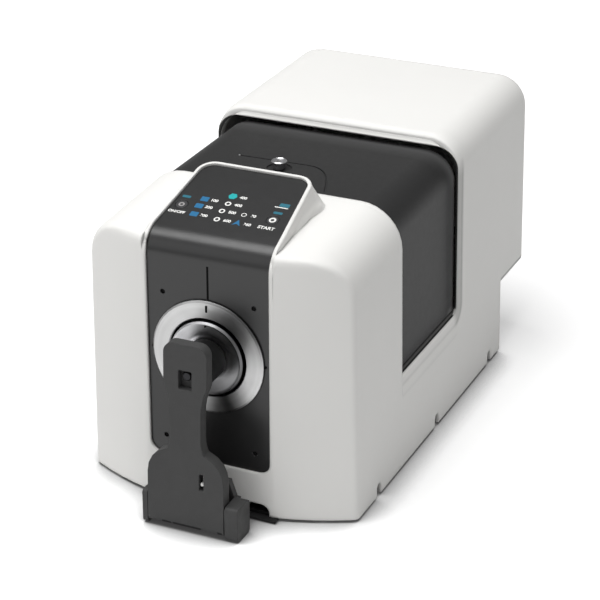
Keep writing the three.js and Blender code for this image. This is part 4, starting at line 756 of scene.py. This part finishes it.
def bar(u, v, half_u, half_v, corner):
    """Outline of a rectangle with rounded corners."""
    points = []
    for cu, cv, start in ((1, 1, 0), (-1, 1, 1), (-1, -1, 2), (1, -1, 3)):
        for i in range(CORNER_STEPS + 1):
            angle = (start + i / CORNER_STEPS) * math.pi / 2
            points.append((u + cu * (half_u - corner) + corner * math.cos(angle),
                           v + cv * (half_v - corner) + corner * math.sin(angle)))
    return points


def strip_faces(loops, sides, closed):
    """Four-sided faces between loops of points; closed joins the last loop to the first."""
    faces = []
    for k in range(loops if closed else loops - 1):
        for i in range(sides):
            j = (i + 1) % sides
            a, b = k * sides, (k + 1) % loops * sides
            faces.append((a + i, a + j, b + j, b + i))
    return faces


def ring_faces(u, v, outer, inner, low, high):
    """Flat ring with a square section."""
    points = []
    for radius, h in ((outer, low), (outer, high), (inner, high), (inner, low)):
        points += [(x, y, h) for x, y in disc(u, v, radius, RING_SIDES)]
    return points, strip_faces(4, RING_SIDES, closed=True)


# Lights, numbers and signs on the status panel
def panel_mark(name, outline, finish):
    """Thin mark on the status panel."""
    points, faces = prism(outline, STANDOFF, PRINT)
    new_piece(name, on_panel(points), faces, finish, "instrument")


def panel_ring(name, u, v, outer, inner, finish):
    """Thin ring on the status panel."""
    points, faces = ring_faces(u, v, outer, inner, STANDOFF, PRINT)
    new_piece(name, on_panel(points), faces, finish, "instrument")


TEXT_WEIGHT = 0.16


def panel_text(name, words, u, v, size):
    """Generic label lying on the status panel."""
    curve = bpy.data.curves.new(name, "FONT")
    curve.body = words
    curve.size = size * MM
    curve.align_x = "CENTER"
    curve.align_y = "CENTER"
    curve.extrude = PRINT / 2 * MM
    curve.offset = TEXT_WEIGHT * MM
    text = bpy.data.objects.new(name, curve)
    bpy.context.scene.collection.objects.link(text)
    place = on_panel([(u, v, PRINT / 2 + STANDOFF)])[0]
    text.matrix_world = Matrix.Translation(place) @ Matrix.Rotation(PANEL_SLOPE, 4, "X")
    bpy.context.view_layer.update()
    shaped = text.evaluated_get(bpy.context.evaluated_depsgraph_get())
    mesh = bpy.data.meshes.new_from_object(shaped)
    mesh.transform(text.matrix_world)
    bpy.data.objects.remove(text)
    mesh.materials.clear()
    mesh.materials.append(mark_white)
    label = bpy.data.objects.new(name, mesh)
    bpy.context.scene.collection.objects.link(label)
    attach(label, "instrument")


panel_mark("light_window_left", bar(-44.6, 39.6, 3.8, 1.5, 0.9), glow_dim)
panel_mark("light_window_right_upper", bar(40.0, 49.2, 4.4, 2.2, 0.9), glow_dim)
panel_mark("window_underline", bar(38.4, 45.9, 6.0, 0.55, 0.4), mark_white)
panel_mark("light_window_right", bar(38.6, 38.6, 4.0, 1.5, 0.9), glow_dim)
for index, (x, s) in enumerate(((-28.3, 40.3), (-29.1, 30.8), (-28.5, 19.8))):
    panel_mark(f"mode_light_{index + 1}", bar(x, s, 3.5, 2.9, 0.8), glow_blue)
    panel_text(f"mode_number_{index + 1}", f"{index + 1}00", x + 8.8, s, 4.4)
panel_mark("cyan_light", disc(-7.0, 49.6, 4.0, 6), glow_cyan)
panel_text("cyan_number", "400", 2.6, 49.6, 4.2)
for index, (x, s) in enumerate(((-6.7, 39.4), (-7.6, 29.3), (-7.1, 18.2))):
    panel_ring(f"state_ring_{index + 1}", x, s, 2.7, 1.5, mark_white)
    panel_text(f"state_number_{index + 1}", f"{index + 4}00", x + 9.2, s, 4.4)
panel_ring("small_ring", 12.3, 29.2, 2.3, 1.7, mark_white)
panel_text("small_number", "30", 20.8, 29.4, 4.4)
panel_mark("arrow_light", [(7.6, 14.8), (11.2, 22.2), (14.8, 14.8), (11.2, 16.8)], glow_blue)
panel_text("arrow_number", "360", 20.2, 18.0, 4.4)
panel_text("power_label", "ON/OFF", -44.3, 19.0, 4.2)
panel_text("measure_label", "START", 37.0, 18.0, 5.0)
for name, body, x, outer, inner, finish in (("power_sign", "power_key", -44.3, 2.6, 1.3, mark_grey),
                                            ("measure_sign", "measure_key", 38.0, 3.1, 1.55, mark_white)):
    points, faces = ring_faces(x, 29, outer, inner, STANDOFF, PRINT)
    new_piece(name, on_panel(points), faces, finish, body)


# Marks on the vertical plate and the rings
def face_piece(name, outline, low, high, finish, inset=0.0):
    """Small piece on the vertical plate, between two heights above it."""
    points, faces = prism(outline, low, high, inset)
    new_piece(name, on_face(points), faces, finish, "instrument")


face_piece("index_line", bar(0, 206.6, 0.9, 14.6, 0.3), STANDOFF, PRINT, mark_black)
face_piece("ring_tick", bar(0, 184.9, 0.9, 3.0, 0.3), 3.4, 3.66, mark_black)
face_piece("mask_dot", disc(0, 170.2, 0.9, ROUND_SIDES), 5.2, 6.1, mark_black)
for side, x in (("left", -51.2), ("right", 51.2)):
    pin = disc(x, 141, 1.1, ROUND_SIDES)
    face_piece(f"index_pin_{side}", pin, STANDOFF, 1.2, mark_black, inset=0.2)


# Screws
SCREW_SIDES = 24
SOCKET_SHARE = 0.5
CHAMFER_SHARE = 0.86
CHAMFER_DROP = 0.18
SOCKET_DEPTH_SHARE = 0.6


def socket_screw(name, centre, axis, head, depth, finish=steel):
    """Round screw head with a chamfered rim and a six-sided socket."""
    axis = Vector(axis).normalized()
    side = axis.orthogonal().normalized()
    other = axis.cross(side)
    socket = head * SOCKET_SHARE
    rings = [(head, -depth), (head, -head * CHAMFER_DROP), (head * CHAMFER_SHARE, 0), (socket, 0),
             (socket, -depth * SOCKET_DEPTH_SHARE)]
    points = []
    for radius, along in rings:
        for i in range(SCREW_SIDES):
            angle = 2 * math.pi * i / SCREW_SIDES
            reach = radius
            if radius == socket:
                part = (angle % (math.pi / 3)) - math.pi / 6
                reach = radius * math.cos(math.pi / 6) / math.cos(part)
            points.append(Vector(centre) + (side * math.cos(angle) + other * math.sin(angle)) * reach * MM
                          + axis * along * MM)
    last = (len(rings) - 1) * SCREW_SIDES
    faces = [tuple(range(SCREW_SIDES - 1, -1, -1)), tuple(range(last, last + SCREW_SIDES))]
    faces += strip_faces(len(rings), SCREW_SIDES, closed=False)
    new_piece(name, points, faces, finish, "instrument")


PLATE_SCREWS = (("a", -41.1, 59), ("b", 41.1, 59), ("c", -41.1, 191.8), ("d", 41.1, 191.8))
REAR_SCREWS = ((-92, 16), (92, 16), (-92, 58), (92, 58))
BASE_SCREWS = ((-60, 40), (60, 40), (-60, 180), (60, 180), (-60, 310), (60, 310))

for label, x, z in PLATE_SCREWS:
    socket_screw(f"plate_screw_{label}", row(x, -22.7, z), (0, -1, 0), 2.0, 1.0, inner_black)

# Bead along the top of the hood's mouth
CAD_MOUTH_TOP = 251.5
CAD_MOUTH_CORNER = 28
CAD_CORNER_X = 88
BEAD_RISE = 90
BEAD_CORNER_X = MOUTH_HALF - MOUTH_DRAFT * BEAD_RISE - MOUTH_CORNER
BEAD_PROUD = 1.6
BEAD_REACH = 104
BEAD_STATIONS = 61
BEAD_LEAST = 0.05
BEAD_FACE = HOOD_FRONT - 0.04
# Each point: share of the bead's thickness below the mouth's edge, share of its proud height,
# depth behind the face
BEAD_PROFILE_SHARES = ((-0.8, 0, 0), (-0.25, 0.25, 0), (0.15, 0.7, 0), (0.5, 1, 0), (0.85, 0.8, 0),
                       (1, 0, 0), (1, 0, 4), (-0.1, 0, 4))


def corner_arc(x, start, radius, top):
    """Height of a rounded corner's outline at a distance from the middle."""
    along = max(0, abs(x) - start)
    return top - radius + math.sqrt(max(0, radius ** 2 - along ** 2))


def mouth_bead():
    """Bead between the cover's rounded edge and the tighter corners of the opening in it."""
    points = []
    for i in range(BEAD_STATIONS):
        x = BEAD_REACH * math.sin((i / (BEAD_STATIONS - 1) - 0.5) * math.pi)
        outer = corner_arc(x, CAD_CORNER_X, CAD_MOUTH_CORNER, CAD_MOUTH_TOP)
        inner = min(outer - BEAD_LEAST, corner_arc(x, BEAD_CORNER_X, MOUTH_CORNER, MOUTH_TOP))
        thick = outer - inner
        proud = BEAD_PROUD * min(1, thick / (CAD_MOUTH_TOP - MOUTH_TOP))
        for below, out, behind in BEAD_PROFILE_SHARES:
            points.append(row(x, BEAD_FACE - proud * out + behind, outer - thick * below))
    ring = len(BEAD_PROFILE_SHARES)
    last = (BEAD_STATIONS - 1) * ring
    faces = [tuple(range(ring)), tuple(range(last, last + ring))[::-1]]
    for i in range(BEAD_STATIONS - 1):
        for k in range(ring):
            n = (k + 1) % ring
            faces.append((i * ring + k, (i + 1) * ring + k, (i + 1) * ring + n, i * ring + n))
    return points, faces


points, faces = mouth_bead()
new_piece("mouth_bead", points, faces, white_trim, "instrument")

# Pin at the end of the lid's groove
GROOVE_PIN = (-58.7, 158.9, 243.05)
pin_x, pin_y, pin_z = GROOVE_PIN
points, faces = prism(disc(0, 0, 1.0, ROUND_SIDES), 0, 0.5, inset=0.25)
points = [row(pin_x + u, pin_y + v, pin_z + h) for u, v, h in points]
new_piece("groove_pin", points, faces, steel, "lid")

# Rear panel and underside screws
for index, (x, z) in enumerate(REAR_SCREWS):
    socket_screw(f"rear_screw_{index}", row(x, 349.9, z), (0, 1, 0), 2.6, 1.2)
for index, (x, y) in enumerate(BASE_SCREWS):
    socket_screw(f"base_screw_{index}", row(x, y, 2.1), (0, 0, -1), 2.6, 1.2)
